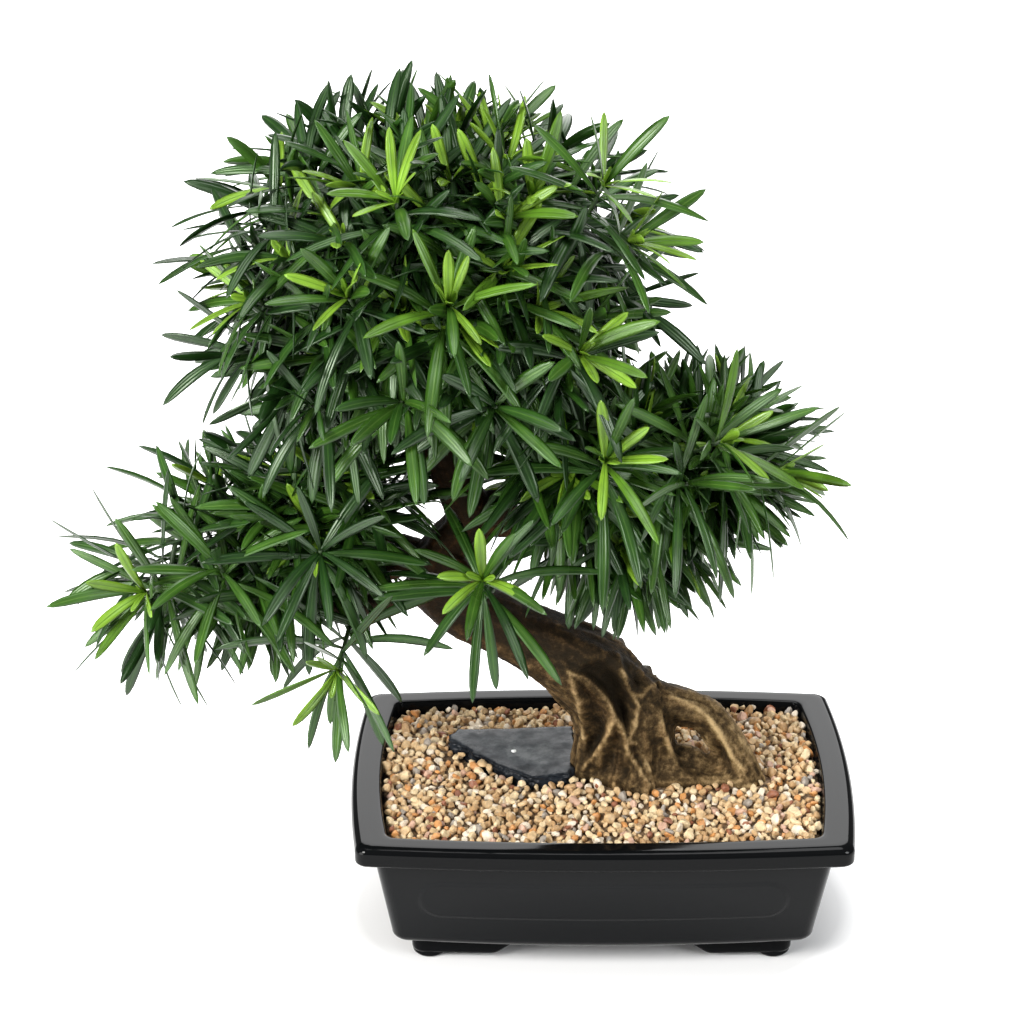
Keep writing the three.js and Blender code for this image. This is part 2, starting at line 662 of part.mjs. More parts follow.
// Name of the mass that a place belongs to
function massAt(point) {
  return Object.keys(HUBS).reduce((a, b) => (HUBS[b].distanceTo(point) < HUBS[a].distanceTo(point) ? b : a));
}

// Tip of a leaf, shortened until it stays in its clump's outline
function tipWithin(sprig, start, out, longest) {
  for (let cut = 0; cut < LEAF_CUTS; cut += 1) {
    const tip = start.clone().addScaledVector(out, longest * LEAF_CUT ** cut);
    if (outlineShare(sprig.clump, tip) < sprig.over) return tip;
  }
  return null;
}

// Leaves of one sprig: the lowest spread flat, the last stand along its axis, and none crosses another
function sprigLeaves(name, sprig, stalk, segments, taken, random) {
  const side = sprig.axis.clone().cross(Math.abs(sprig.axis.z) > UPRIGHT ? V(1, 0, 0) : UP).normalize();
  const other = sprig.axis.clone().cross(side);
  const solids = [];
  for (let k = 0; k < LEAVES_PER_SPRIG; k += 1) {
    const share = k / (LEAVES_PER_SPRIG - 1);
    const start = sprig.tail.clone().lerp(sprig.head, LEAVES_FROM + LEAVES_OVER * share);
    for (let attempt = 0; attempt < LEAF_TRIES; attempt += 1) {
      const roll = sprig.turn + k * GOLDEN + attempt * LEAF_TURN_AGAIN * (random() - 0.5);
      const degrees = THREE.MathUtils.lerp(PITCH_LOW, PITCH_HIGH, share) + PITCH_VARIES * (random() - 0.5);
      const pitch = THREE.MathUtils.degToRad(degrees);
      const around = side.clone().multiplyScalar(Math.cos(roll)).addScaledVector(other, Math.sin(roll));
      const out = sprig.axis.clone().multiplyScalar(Math.cos(pitch)).addScaledVector(around, Math.sin(pitch));
      const droop = THREE.MathUtils.lerp(DROOP_LOW, DROOP_HIGH, share);
      out.addScaledVector(UP, -droop * Math.sin(pitch)).normalize();
      const root = start.clone().addScaledVector(out, -LEAF_SINK);
      const size = THREE.MathUtils.lerp(1, LEAF_YOUNG, share) * (1 + LEAF_VARIES * (random() - 0.5));
      const tip = tipWithin(sprig, start, out, LEAF_LENGTH * size);
      if (!tip) continue;
      const blade = leaf(root, tip, sprig.axis.clone().cross(out));
      if (!missesLimbs(start, tip, LEAF_WIDTH / 2, segments)) continue;
      if (!blade.points.every((p) => inSpace(name, p))) continue;
      const solid = solidOf(blade.geometry);
      const outside = solid.subtract(stalk);
      if (taken.some((body) => !outside.intersect(body).isEmpty())) continue;
      taken.push(outside);
      solids.push(solid);
      break;
    }
  }
  return solids;
}

// Tapering twig or stem through a few points
function twig(points, rootRadius, tipRadius, sides) {
  const whole = points[points.length - 1].clone().sub(points[0]).normalize();
  const across = whole.clone().cross(Math.abs(whole.z) > UPRIGHT ? V(1, 0, 0) : UP).normalize();
  const rings = points.map((middle, k) => {
    const before = points[Math.max(k - 1, 0)];
    const after = points[Math.min(k + 1, points.length - 1)];
    const along = after.clone().sub(before).normalize();
    const side = across.clone().addScaledVector(along, -across.dot(along)).normalize();
    const other = along.clone().cross(side);
    const radius = THREE.MathUtils.lerp(rootRadius, tipRadius, k / (points.length - 1));
    return Array.from({ length: sides }, (_, i) => {
      const angle = (2 * Math.PI * i) / sides;
      return middle.clone()
        .addScaledVector(side, radius * Math.cos(angle))
        .addScaledVector(other, radius * Math.sin(angle));
    });
  });
  return solidOf(loft(rings));
}

// One mass: a stem on from its bough, twigs to its sprigs, then leaves clear of all of them
function mass(name, sprigs, segments) {
  const random = randomFrom(name.length * MASS_SEED + sprigs.length);
  const [before, last] = BOUGHS[name].slice(-2).map((s) => V(s[0], s[1], s[2]));
  const onward = last.clone().sub(before).normalize();
  const start = last.clone().addScaledVector(onward, SEAT);
  const collar = start.clone().addScaledVector(onward, COLLAR);
  const hub = HUBS[name];
  const wood = [twig([start, collar, hub], STEM_ROOT, STEM_TIP, 5)];
  const twigs = [];
  for (const sprig of sprigs) {
    const { tail, head } = sprig;
    if (!inSpace(name, tail) || !inSpace(name, head)) continue;
    if (!missesLimbs(tail, head, TWIG_TIP, segments)) continue;
    const forks = Array.from({ length: FORK_TRIES }, (_, i) => hub.clone().lerp(collar, i / FORK_TRIES));
    forks.sort((a, b) => a.distanceTo(tail) - b.distanceTo(tail));
    const fork = forks.find((from) => missesLimbs(from, tail, TWIG_ROOT, segments));
    if (!fork) continue;
    const branch = twig([fork, tail, head], TWIG_ROOT, TWIG_TIP, 3);
    wood.push(branch);
    twigs.push([sprig, branch]);
  }
  const leaves = [];
  for (const [sprig, branch] of twigs) {
    const taken = [...wood.filter((body) => body !== branch), ...leaves];
    leaves.push(...sprigLeaves(name, sprig, branch, segments, taken, random));
  }
  return geometryOf(largestBody(joined([...wood, ...leaves])));
}

// Materials
const FINISH = {
  pot: new THREE.MeshStandardMaterial({ color: 0x0b0c0e, roughness: 0.12, metalness: 0 }),
  filling: new THREE.MeshStandardMaterial({ color: 0x9a958c, roughness: 0.9, metalness: 0 }),
  gravel: new THREE.MeshStandardMaterial({ color: 0xcfae84, roughness: 0.75, metalness: 0 }),
  slab: new THREE.MeshStandardMaterial({ color: 0x3c4148, roughness: 0.6, metalness: 0 }),
  bark: new THREE.MeshStandardMaterial({ color: 0x5a3f26, roughness: 0.7, metalness: 0 }),
  leaves: new THREE.MeshStandardMaterial({ color: 0x2f6a2c, roughness: 0.4, metalness: 0 }),
};

const tree = new THREE.Group();
function place(name, geometry, finish) {
  const mesh = new THREE.Mesh(geometry, FINISH[finish].clone());
  mesh.name = name;
  tree.add(mesh);
}

// Pot and its filling
place('pot', pot(), 'pot');
place('filling', filling(), 'filling');

// Trunk, slab and gravel, each cut clear of the one before
const clearOfTrunk = trunkSpace(SEAT);
place('trunk', geometryOf(largestBody(trunk())), 'bark');
place('slab', geometryOf(largestBody(slab(0).subtract(clearOfTrunk))), 'slab');
place('gravel', geometryOf(largestBody(gravelBed().subtract(clearOfTrunk).subtract(slab(SEAT)))), 'gravel');

// Boughs, each fitted to the trunk
for (const [name, stations] of Object.entries(BOUGHS)) {
  const whole = solidOf(limb(stations, BOUGH_SIDES, BOUGH_STEPS));
  place(`bough_${name}`, geometryOf(largestBody(whole.subtract(clearOfTrunk))), 'bark');
}

// Foliage
const LIMBS = [TRUNK, ...ROOTS, ...Object.values(BOUGHS)].flatMap(limbSegments);
const sprigs = CLUMPS.flatMap(sprigsOf);
for (const name of Object.keys(HUBS)) {
  const own = sprigs.filter((sprig) => massAt(sprig.tail) === name);
  place(`foliage_${name}`, mass(name, own, LIMBS), 'leaves');
}

// Origin under the middle of the whole
const box = new THREE.Box3().setFromObject(tree);
const middle = box.getCenter(V(0, 0, 0));
tree.position.set(-middle.x, -middle.y, -box.min.z);

const object = new THREE.Group();
object.add(tree);

export default object;
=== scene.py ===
# An artificial podocarpus bonsai in a glazed oblong pot: its looks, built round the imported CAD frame.
# Millimetres, measured from the middle of the pot's foot as in the part's source, until a mesh is made.
import math

import bmesh
import bpy
import numpy as np
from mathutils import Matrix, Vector, noise
from mathutils.bvhtree import BVHTree


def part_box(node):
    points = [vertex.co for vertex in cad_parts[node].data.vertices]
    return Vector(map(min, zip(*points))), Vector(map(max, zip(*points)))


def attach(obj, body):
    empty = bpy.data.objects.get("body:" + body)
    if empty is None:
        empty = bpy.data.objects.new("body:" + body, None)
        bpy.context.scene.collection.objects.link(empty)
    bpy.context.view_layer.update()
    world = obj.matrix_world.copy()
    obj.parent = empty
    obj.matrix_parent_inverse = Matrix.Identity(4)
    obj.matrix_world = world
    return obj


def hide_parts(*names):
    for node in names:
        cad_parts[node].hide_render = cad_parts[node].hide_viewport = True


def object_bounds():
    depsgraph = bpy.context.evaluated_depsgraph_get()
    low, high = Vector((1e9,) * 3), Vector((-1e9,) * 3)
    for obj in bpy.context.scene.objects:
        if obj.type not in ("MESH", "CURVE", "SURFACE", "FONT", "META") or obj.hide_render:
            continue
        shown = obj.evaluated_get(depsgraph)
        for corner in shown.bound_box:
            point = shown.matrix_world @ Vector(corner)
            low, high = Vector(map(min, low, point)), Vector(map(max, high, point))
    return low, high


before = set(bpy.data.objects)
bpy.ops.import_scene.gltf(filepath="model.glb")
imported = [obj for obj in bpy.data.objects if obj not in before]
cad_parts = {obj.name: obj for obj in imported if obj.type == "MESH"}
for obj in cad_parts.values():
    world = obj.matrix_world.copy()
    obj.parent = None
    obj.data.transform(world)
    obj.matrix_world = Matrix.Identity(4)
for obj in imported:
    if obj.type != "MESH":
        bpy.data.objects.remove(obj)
cad_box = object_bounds()

MM = 0.001
UP = np.array([0.0, 0.0, 1.0])
FULL_TURN = 2 * math.pi
GOLDEN = math.pi * (3 - math.sqrt(5))
POT_LOW, POT_HIGH = (np.array(corner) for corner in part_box("pot"))
HOME = np.array([(POT_LOW[0] + POT_HIGH[0]) / 2, (POT_LOW[1] + POT_HIGH[1]) / 2, POT_LOW[2]])

# Camera, lights and floor
EYE = np.array([-51.0, -1495.0, 985.0])
EYE_DOWN = 26.0
EYE_FOCUS, PICTURE = 3028.0, 1024  # pixels
SENSOR = 36.0
LIT_PLACE = (-20.0, 0.0, 220.0)
WHITE = (1.0, 1.0, 1.0, 1)
WORLD_LIGHT = 0.17
LIGHTS = [  # name, place, size, watts, colour
    ("top", (-100, 100, 2300), 1900, 44, (1, 1, 1)),
    ("key", (-1200, -1150, 1250), 700, 42, (1, 0.985, 0.96)),
    ("low", (-1250, -850, 260), 900, 19, (1, 0.995, 0.98)),
    ("fill", (1300, -1100, 1000), 800, 24, (0.97, 0.985, 1)),
    ("back", (0, 1900, 1100), 1600, 24.5, (1, 1, 1)),
]
FLOOR_SIZE = 9.0  # metres
FLOOR_DARK = (0.14, 0.1, 1.0)  # half sizes of the floor under the pot that has no light of its own, in metres
FLOOR_FADE, FLOOR_LIGHT = 1.35, 0.9

# Pot
RIM_LONG, RIM_DEEP, RIM_TOP = 275.0, 177.0, 93.5
LIP_DEPTH, LIP_WIDE, LIP_NARROW = 12.0, 17.0, 13.5
LIP_ROUND, LIP_LOW_ROUND, LIP_INNER_ROUND, LIP_UNDERSIDE = 4.6, 2.0, 2.0, 5.0
SIDE_BOW, CORNER = 5.2, 7.0
BODY_INSET, BODY_TAPER, BODY_BOTTOM, BOTTOM_ROUND, BODY_ROWS = 10.2, 8.6, 18.0, 8.0, 62
COVE_DEPTH, COVE_HEIGHT = 1.0, 3.4
COVE = [(0.15, 0.06), (0.6, 0.14), (0.95, 0.3), (1.0, 0.5), (0.8, 0.7), (0.2, 0.88), (-1.2, 1.0)]
CAVITY_FLOOR, CAVITY_TAPER = 25.0, 9.0
APRON_LONG, APRON_DEEP, APRON_WALL, APRON_LOW, APRON_BOW = 216.0, 113.0, 11.0, 4.0, 2.0
ARCH_TOP, ARCH_LOW, ARCH_RISE, ARCH_BLEND = 92.0, 114.0, 9.0, 6
SIDE_ARCH_TOP, SIDE_ARCH_LOW = 40.0, 56.0
PAD_RADIUS, PAD_X, PAD_Y, PAD_SIDES = 9.8, 98.0, 46.0, 40
PAD_PROFILE = [(2.6, 0), (1.2, 0.5), (0.2, 1.6), (0, 3.0), (0.5, 4.6), (1.6, 6.0)]  # inset, height
PANEL_HALF, PANEL_LOW, PANEL_HIGH, PANEL_PROUD, PANEL_EDGE = 102.5, 40.6, 65.0, 0.7, 1.6
SIDE_PANEL_HALF = 52.0
# The glaze from the top downwards: where it ends, its name, specular level and how light it is. Only the
# rim's top keeps the glaze's full reflection; the weaker reflection on the lip face, body and foot is painted
# shade.
GLAZES_WITH_PAINTED_SHADE = [
    (RIM_TOP - 0.6 * LIP_ROUND, "top", 0.145, 0.003), (RIM_TOP - LIP_DEPTH, "lip", 0.09, 0.003),
    (BODY_BOTTOM, "body", 0.1, 0.006), (0, "foot", 0.055, 0.004),
]

# Gravel and slab
GRAVEL_FLOOR, GRAVEL_EDGE, GRAVEL_TOP, GRAVEL_HEAP = 78.0, 88.5, 90.0, 8.0
HEAP_X, HEAP_Y, HEAP_HALF_X, HEAP_HALF_Y = 22.0, -14.0, 58.0, 32.0
BED_GAP, BED_SINK, BED_RINGS = 0.3, 3.2, 26
PEBBLE_PIECES, PEBBLE_LAYERS, PEBBLE_KINDS, PEBBLE_CUTS = 5, 2, 28, 8
PEBBLE_SPACING, PEBBLE_SHIFT, PEBBLE_SINK, PEBBLE_OVER_RIM = 4.9, 1.2, 1.9, 4.5
PEBBLE_SMALL, PEBBLE_LARGE, SMALL_SHARE, UPPER_SHARE, LAYER_RISE = (2.1, 3.2), (3.2, 4.4), 0.82, 0.34, 2.0
PEBBLE_LIFT, PEBBLE_GAP = (-0.6, 0.4), 1.0
RAY_STEP, MOST_CROSSINGS = 0.00002, 20  # metres past each surface; how many are counted
PEBBLE_REACH, PEBBLE_WIDE, PEBBLE_HIGH = (0.5, 0.82), (0.7, 0.98), (0.55, 0.85)  # shares of its half length
PEBBLE_COLOURS = [
    ("cream", (0.67, 0.52, 0.31), 27), ("sand", (0.58, 0.4, 0.21), 25), ("tan", (0.44, 0.27, 0.125), 14),
    ("quartz", (0.74, 0.64, 0.5), 13), ("grey", (0.32, 0.28, 0.235), 5), ("orange", (0.54, 0.25, 0.08), 7),
    ("rust", (0.26, 0.1, 0.05), 4), ("pink", (0.54, 0.34, 0.24), 5),
]
SLAB_TOP = 97.5
SLAB_OUTLINE = [(-88, 25), (-60, -6), (-40, -21), (-18, -20), (-12, 6), (-16, 36), (-52, 39), (-84, 37)]
SLAB_MIDDLE = (-48.0, 12.0)
SLAB_RISE, SLAB_RISE_FROM, SLAB_RISE_TO = 3.0, -50.0, -14.0
SLAB_BANK, SLAB_BANK_WIDE = 2.8, 8
SLAB_VOXEL = 0.9
EDGE_ROUGH, EDGE_LEDGES, TOP_ROUGH = 2.2, 3.0, 0.15
CHIP_AT, CHIP_LIFT, CHIP_SIZE = (-50.0, 8.5), 0.5, (1.6, 2.0, 1.2)
SLATE_TOP = [(0.36, (0.02, 0.023, 0.026)), (0.5, (0.06, 0.066, 0.071)), (0.62, (0.13, 0.137, 0.14))]
SLATE_BROKEN = [(0.35, (0.004, 0.005, 0.007)), (0.62, (0.02, 0.024, 0.03)), (0.8, (0.1, 0.11, 0.12))]

# Trunk, roots and boughs: middle of each section and its radius
TRUNK_FLUTE, TRUNK_FLUTES, TRUNK_TWIST, TRUNK_FLAT, FLAT_UNTIL = 0.06, 5, 7, 0.74, 1 / 2.2
TRUNK = [
    (10, 0, 74, 30), (13, 0, 100, 29.5), (14, 0, 122, 28.5), (5, 0, 142, 26), (-10, 0, 158, 24),
    (-30, 0, 171, 20), (-58, 0, 186, 17.5), (-82, 0, 199, 16), (-95, 0, 216, 15),
    (-86, 0, 234, 14), (-75, 0, 250, 13), (-80, 0, 270, 12), (-89, 0, 296, 11),
    (-86, 0, 330, 10), (-84, 0, 362, 9),
]
ROOTS = [
    [(86, -6, 74, 13), (79.5, -5, 92, 12), (69.5, -3, 114, 10.5), (57, -1, 129, 10.5), (35, 0, 136, 11.5),
     (10, 0, 146, 14)],
    [(25, -28, 74, 9.5), (21, -23, 92, 8.5), (15, -14, 112, 9), (8, -4, 135, 10)],
    [(-16, -13, 74, 8.5), (-9, -9, 96, 7.5), (-3, -3, 124, 10.5)],
    [(8, 26, 74, 9.5), (8, 20, 93, 8.5), (6, 8, 120, 11)],
    [(16, -4, 92, 20), (46, -5, 92, 18.5), (60, -6, 88.5, 14.5), (80, -6, 88, 12.5)],
]
BOUGHS = {
    "crown_top": [(-84, 0, 362.3, 8.5), (-83, 0, 378, 7.5), (-86, 0, 396, 6)],
    "crown_left": [(-86, 0, 337, 7), (-102, -1, 352, 6.5), (-119, -3, 370, 5)],
    "crown_right": [(-86, 0, 323, 7), (-70, -1, 341, 6.5), (-54, -3, 364, 5)],
    "crown_front": [(-87, 0, 308, 6.5), (-88, -18, 328, 6), (-89, -34, 352, 5)],
    "crown_back": [(-85, 0, 348, 6.5), (-87, 18, 356, 6), (-89, 35, 368, 5)],
    "left_far": [(-94, 0, 214, 7), (-122, -3, 203, 6), (-147, -6, 199, 5.5), (-182, -9, 205, 4.5)],
    "left_near": [(-88, 0, 231, 6.5), (-112, -16, 230, 5.5), (-138, -28, 226, 4.5)],
    "left_back": [(-90, 0, 228, 6.5), (-114, 16, 229, 5.5), (-140, 27, 227, 4.5)],
    "right_far": [(-76, 0, 248, 7), (-30, -2, 249, 6), (0, -3, 258, 5.5), (34, -4, 268, 4.5)],
    "right_near": [(-77, 0, 256, 6.5), (-44, -18, 262, 5.5), (-14, -30, 266, 4.5)],
    "right_back": [(-77, 0, 258, 6.5), (-44, 18, 264, 5.5), (-14, 30, 269, 4.5)],
    "front_low": [(-88, 0, 231, 6), (-78, -22, 231, 5.2), (-68, -40, 233, 4.5)],
}
LIMBS = [TRUNK, *ROOTS, *BOUGHS.values()]
TRUNK_SIDES, BOUGH_SIDES = 48, 20
BARK_VOXEL = 1.25
RIDGE_HIGH, HOLLOW_DEEP, FINE_HIGH, BROAD_HIGH, PITS_HIGH = 1.5, 1.2, 0.35, 1.3, 0.35

# Bark relief at the trunk's foot, as the camera sees it on the upright plane RELIEF_PLANE: across, height
RELIEF_PLANE = -18.0
RIDGE_WIDE = 1.8
RIDGES = [
    [(-23, 173), (-19, 165), (-15.7, 154), (-12.6, 142), (-10.7, 130), (-10.2, 123)],
    [(-19, 165), (-9.8, 162), (-2, 154), (3.3, 146), (5.9, 138), (10.4, 130), (14, 121)],
    [(6, 136), (3.5, 127), (-0.7, 117), (-6.6, 109), (-11, 103)],
    [(7, 185), (8.9, 171), (12.5, 160), (16, 152), (19.5, 146), (18.9, 134), (15.6, 123), (13, 118),
     (17, 109), (21, 102), (26, 93)],
    [(15.7, 121.6), (20, 118), (22.4, 110), (26.4, 101)],
    [(16, 152), (21, 150), (26, 156), (30, 159)],
    [(37, 150), (50, 144), (59, 137), (66, 126), (73, 111), (81, 102)],
    [(32, 141), (33.6, 130), (37, 118), (42, 106)],
]
HOLLOWS = [  # depth, outline
    (5.0, [(-17, 161), (-9.7, 158), (-1, 148), (3.8, 138), (1.8, 126), (-3, 116), (-9, 110), (-9.4, 126),
           (-12, 142)]),
    (7.0, [(-7.3, 175), (5.4, 175), (10.7, 161), (16, 148), (17, 134), (14.3, 124), (11, 130), (6.8, 139),
           (1.5, 150), (-5.5, 158), (-15, 165)]),
    (4.0, [(7, 132), (13, 121), (16, 108), (20, 100), (13.5, 96), (-6.5, 98), (-0.6, 111), (3.6, 122)]),
    (1.6, [(15.3, 118), (19, 117), (21.5, 110), (23.8, 104), (19.4, 108)]),
    (3.0, [(33, 140), (42, 135), (48, 117), (60, 111), (64, 121), (59, 129), (70, 117), (74, 100), (56, 96),
           (45, 100), (38, 116)]),
    (4.0, [(15, 166), (22, 167), (25, 161), (22, 156), (17, 157)]),
]
BARK_BROWN = [
    (0.0, (0.004, 0.0027, 0.0014)), (0.22, (0.014, 0.0092, 0.0044)), (0.42, (0.056, 0.036, 0.0155)),
    (0.62, (0.185, 0.124, 0.056)), (0.95, (0.54, 0.4, 0.2)),
]
BARK_RUST = [
    (0.0, (0.004, 0.002, 0.001)), (0.28, (0.02, 0.0086, 0.0034)), (0.5, (0.06, 0.026, 0.009)),
    (0.75, (0.18, 0.082, 0.028)), (1.0, (0.4, 0.2, 0.075)),
]

# Foliage. A clump's outline is an egg at square 2; its sprigs keep apart from the single ones
CROWN_LEAF, LOWER_LEAF, YOUNG_LEAF, BUD = (57.0, 7.3), (63.0, 6.5), (36.0, 6.1), (15.0, 4.6)  # length, width
CLUMP_KEYS = ("centre", "half", "square", "sprigs", "low", "high", "seed", "apart", "leaf", "tints_with_painted_light")
# All clumps but the crown draw lighter tints: painted light that lifts the lower clumps the crown shades
CLUMPS = [dict(zip(CLUMP_KEYS, values)) for values in [
    ((-93, 0, 399), (146, 112, 106), 2.25, 122, -0.78, 0.97, 11, 26, CROWN_LEAF, [0, 0, 0, 1, 1, 2]),
    ((-196, -6, 235), (104, 88, 63), 2.2, 27, -0.5, 0.9, 23, 41, LOWER_LEAF, [0, 1, 1, 2, 2]),
    ((-150, -4, 264), (86, 84, 57), 2.3, 19, -0.5, 0.9, 29, 41, LOWER_LEAF, [0, 1, 1, 2, 2]),
    ((6, 0, 265), (90, 94, 71), 2.2, 22, -0.5, 0.93, 37, 26, LOWER_LEAF, [0, 1, 1, 2, 2]),
    ((54, -2, 293), (70, 80, 52), 2.3, 21, -0.4, 0.92, 41, 26, LOWER_LEAF, [0, 1, 1, 2, 2]),
    ((-16, -26, 306), (82, 80, 76), 2.2, 11, -0.3, 0.4, 8, 26, LOWER_LEAF, [0, 1, 1, 2, 2]),
    ((-58, -66, 234), (66, 64, 66), 2.0, 0, -0.6, 0.3, 4, 26, LOWER_LEAF, [0, 1, 1, 2, 2]),
]]
HUBS = {
    "crown_top": (-86, 0, 430), "crown_left": (-140, -4, 390), "crown_right": (-34, -4, 390),
    "crown_front": (-88, -52, 384), "crown_back": (-88, 52, 386), "left_far": (-218, -11, 216),
    "left_near": (-170, -38, 224), "left_back": (-172, 32, 226), "right_far": (60, -5, 273),
    "right_near": (12, -36, 270), "right_back": (12, 36, 274), "front_low": (-62, -52, 235),
}
# Single sprigs that show in front: clump, where the head is, where it points, number of young leaves
KEY_SPRIGS = [
    (0, (-131, -78, 410), (-0.25, -0.6, 0.75), 4), (0, (-84, -86, 408), (0.15, -0.55, 0.8), 4),
    (0, (-108, -66, 454), (-0.1, -0.35, 0.93), 4), (0, (-178, -40, 394), (-0.75, -0.4, 0.5), 4),
    (0, (-8, -52, 458), (0.35, -0.35, 0.87), 4), (0, (2, -40, 426), (0.7, -0.4, 0.55), 4),
    (0, (-20, -76, 380), (0.35, -0.7, 0.6), 4), (0, (-60, -84, 356), (0.1, -0.85, 0.45), 0),
    (0, (-150, -66, 348), (-0.45, -0.7, 0.4), 0), (0, (-106, -88, 360), (-0.1, -0.85, 0.5), 0),
    (0, (-190, -30, 364), (-0.8, -0.4, 0), 0), (0, (-166, -48, 350), (-0.35, -0.6, -0.5), 0),
    (0, (2, -20, 390), (0.7, -0.4, -0.1), 0), (0, (-28, -58, 358), (0.3, -0.6, -0.4), 0),
    (1, (-243, -50, 233), (-0.45, -0.75, 0.3), 4), (1, (-205, -66, 254), (-0.1, -0.6, 0.8), 0),
    (1, (-249, -34, 238), (-0.75, -0.35, 0.4), 0), (1, (-226, -22, 252), (-0.35, -0.25, 0.9), 0),
    (1, (-143, -74, 203), (-0.1, -0.9, -0.1), 4), (2, (-152, -74, 268), (0.1, -0.8, 0.55), 0),
    (1, (-242, -46, 218), (-0.2, -0.5, -0.7), 0), (6, (-66, -89, 258), (0, -0.75, 0.65), 4),
    (5, (-4, -83, 322), (0.1, -0.7, 0.7), 4), (4, (80, -42, 300), (0.9, -0.3, 0.15), 4),
    (4, (53, -56, 322), (0.6, -0.5, 0.5), 3), (3, (38, -66, 304), (0.3, -0.8, 0.45), 0),
]
SPRIG_TAIL, SPRIG_HEAD, SPRIG_REACH, SPRIG_SPREAD, SPRIG_LIFT = 28.0, 8.0, 50.0, 8, 0.85
INNER_REACH, OUTER_PER_INNER = 0.5, 4
CLUMP_OVER, KEY_OVER, KEY_LOOSE = 1.04, 1.7, 0.35
TWIG_RADII, TWIG_SIDES, TWIG_STEP = (2.0, 1.6, 1.4, 1.0), 7, 5.0
STEM_RADII, STEM_SIDES, STEM_STEP, STEM_COLLAR = (4.2, 3.9, 2.4), 10, 4.0, 6
LEAVES_PER_SPRIG, BUDS_PER_SPRIG = 16, 2
FOUR_YOUNG, TWO_YOUNG = 0.14, 0.3  # a sprig has four or two young leaves where its draw is below these
LIGHT_FROM, LIGHT_SHARE = 0.75, 0.25  # where the leaves next to young ones start; how many are light
PITCH_LOW, PITCH_HIGH, PITCH_SHIFT, BUD_PITCH, YOUNG_PITCH = 108, 26, 18, (5, 25), (16, 52)  # degrees
DROOP, HANG, YOUNG_HANG, HANG_FIRST, HANG_LAST, SPREAD = 0.16, (0.2, 1.25), (0.1, 0.3), 1.2, 0.5, (0.1, 0.6)
LENGTH_RANGE, WIDTH_RANGE, LAST_LENGTH, LAST_WIDTH, SHORTER = (0.84, 1.1), (0.86, 1.1), 0.85, 0.9, 0.9
ROLL_SHIFT, LEAF_CURL, LEAF_TILT, LEAF_TWIST = 0.45, 0.45, 0.6, 0.9
LEAF_THICK = 0.5
LEAF_ROWS = np.array([0, 0.13, 0.3, 0.46, 0.6, 0.74, 0.86, 0.95, 1])
LEAF_SHAPE = np.array([0.24, 0.44, 0.74, 0.92, 1.0, 0.97, 0.81, 0.49, 0.05])
YOUNG_SHAPE = np.array([0.3, 0.5, 0.76, 0.92, 1.0, 0.99, 0.84, 0.52, 0.08])
# Across a leaf, from edge to edge on top and back under it: place, height, and whether it is underneath
ACROSS = np.array([-1, -0.52, -0.1, 0.1, 0.52, 1, 0])
RISE = np.array([0.0, 0.06, 0.02, 0.02, 0.06, 0.0, -0.04])
UNDER = np.array([0, 0, 0, 0, 0, 0, 1])
RIB_FACE = 2
LIMB_GAP, POT_GAP, RIM_GAP = 2.0, 6, 5
REACH_OVER = 6.0
LEAF_COLOURS = [
    ("dark", (0.008, 0.029, 0.0045)), ("green", (0.0145, 0.048, 0.0055)), ("mid", (0.028, 0.08, 0.0075)),
    ("light", (0.065, 0.15, 0.01)), ("young", (0.15, 0.28, 0.022)), ("rib_dark", (0.02, 0.056, 0.009)),
    ("rib_green", (0.036, 0.087, 0.013)), ("rib_mid", (0.06, 0.13, 0.018)),
    ("rib_light", (0.045, 0.105, 0.008)), ("rib_young", (0.085, 0.18, 0.012)),
]
MID, LIGHT, YOUNG, LEAF_KINDS = 2, 3, 4, 5
LEAF_FIBRES = 13.0  # waves across a leaf, in radians from its middle to its edge


def random_from(seed):
    return np.random.default_rng(seed)


def unit(v):
    return v / np.linalg.norm(v)


def lengths(rows):
    return np.linalg.norm(rows, axis=1)


def lerp(a, b, t):
    return a + (b - a) * t


def smooth(low, high, x):
    t = np.clip((x - low) / (high - low), 0, 1)
    return t * t * (3 - 2 * t)


# Meshes

def placed(name, data):
    made = bpy.data.objects.new(name, data)
    bpy.context.scene.collection.objects.link(made)
    return made


def add_mesh(name, points, faces, materials, picks=None, smooth_faces=True):
    """A mesh object from millimetre points; picks gives each face's material slot."""
    mesh = bpy.data.meshes.new(name)
    metres = np.asarray(points) * MM + HOME
    mesh.from_pydata(metres.tolist(), [], [list(map(int, f)) for f in faces])
    for material in materials:
        mesh.materials.append(material)
    if picks is not None:
        mesh.polygons.foreach_set("material_index", np.asarray(picks, dtype=np.int32))
    mesh.polygons.foreach_set("use_smooth", np.full(len(mesh.polygons), smooth_faces))
    mesh.update()
    return placed(name, mesh)


def dress(piece, slot, *nodes):
    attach(piece, "root")
    if nodes:
        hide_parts(*nodes)
    return piece


def read_vectors(piece, key):
    flat = np.zeros(len(piece.data.vertices) * 3)
    piece.data.vertices.foreach_get(key, flat)
    return flat.reshape(-1, 3)


def points_of(piece):
    """A piece's points in millimetres from the middle of the pot's foot."""
    return (read_vectors(piece, "co") - HOME) / MM


def set_points(piece, points):
    piece.data.vertices.foreach_set("co", (points * MM + HOME).ravel())
    piece.data.update()


def add_attribute(piece, name, values):
    layer = piece.data.attributes.new(name, "FLOAT", "POINT")
    layer.data.foreach_set("value", np.asarray(values, dtype=np.float32))


def remeshed(piece, voxel):
    """Joins a piece's overlapping closed bodies into one even skin."""
    modifier = piece.modifiers.new("skin", "REMESH")
    modifier.mode = "VOXEL"
    modifier.voxel_size = voxel * MM
    modifier.use_smooth_shade = True
    graph = bpy.context.evaluated_depsgraph_get()
    skin = bpy.data.meshes.new_from_object(piece.evaluated_get(graph))
    piece.modifiers.remove(modifier)
    old, piece.data = piece.data, skin
    bpy.data.meshes.remove(old)


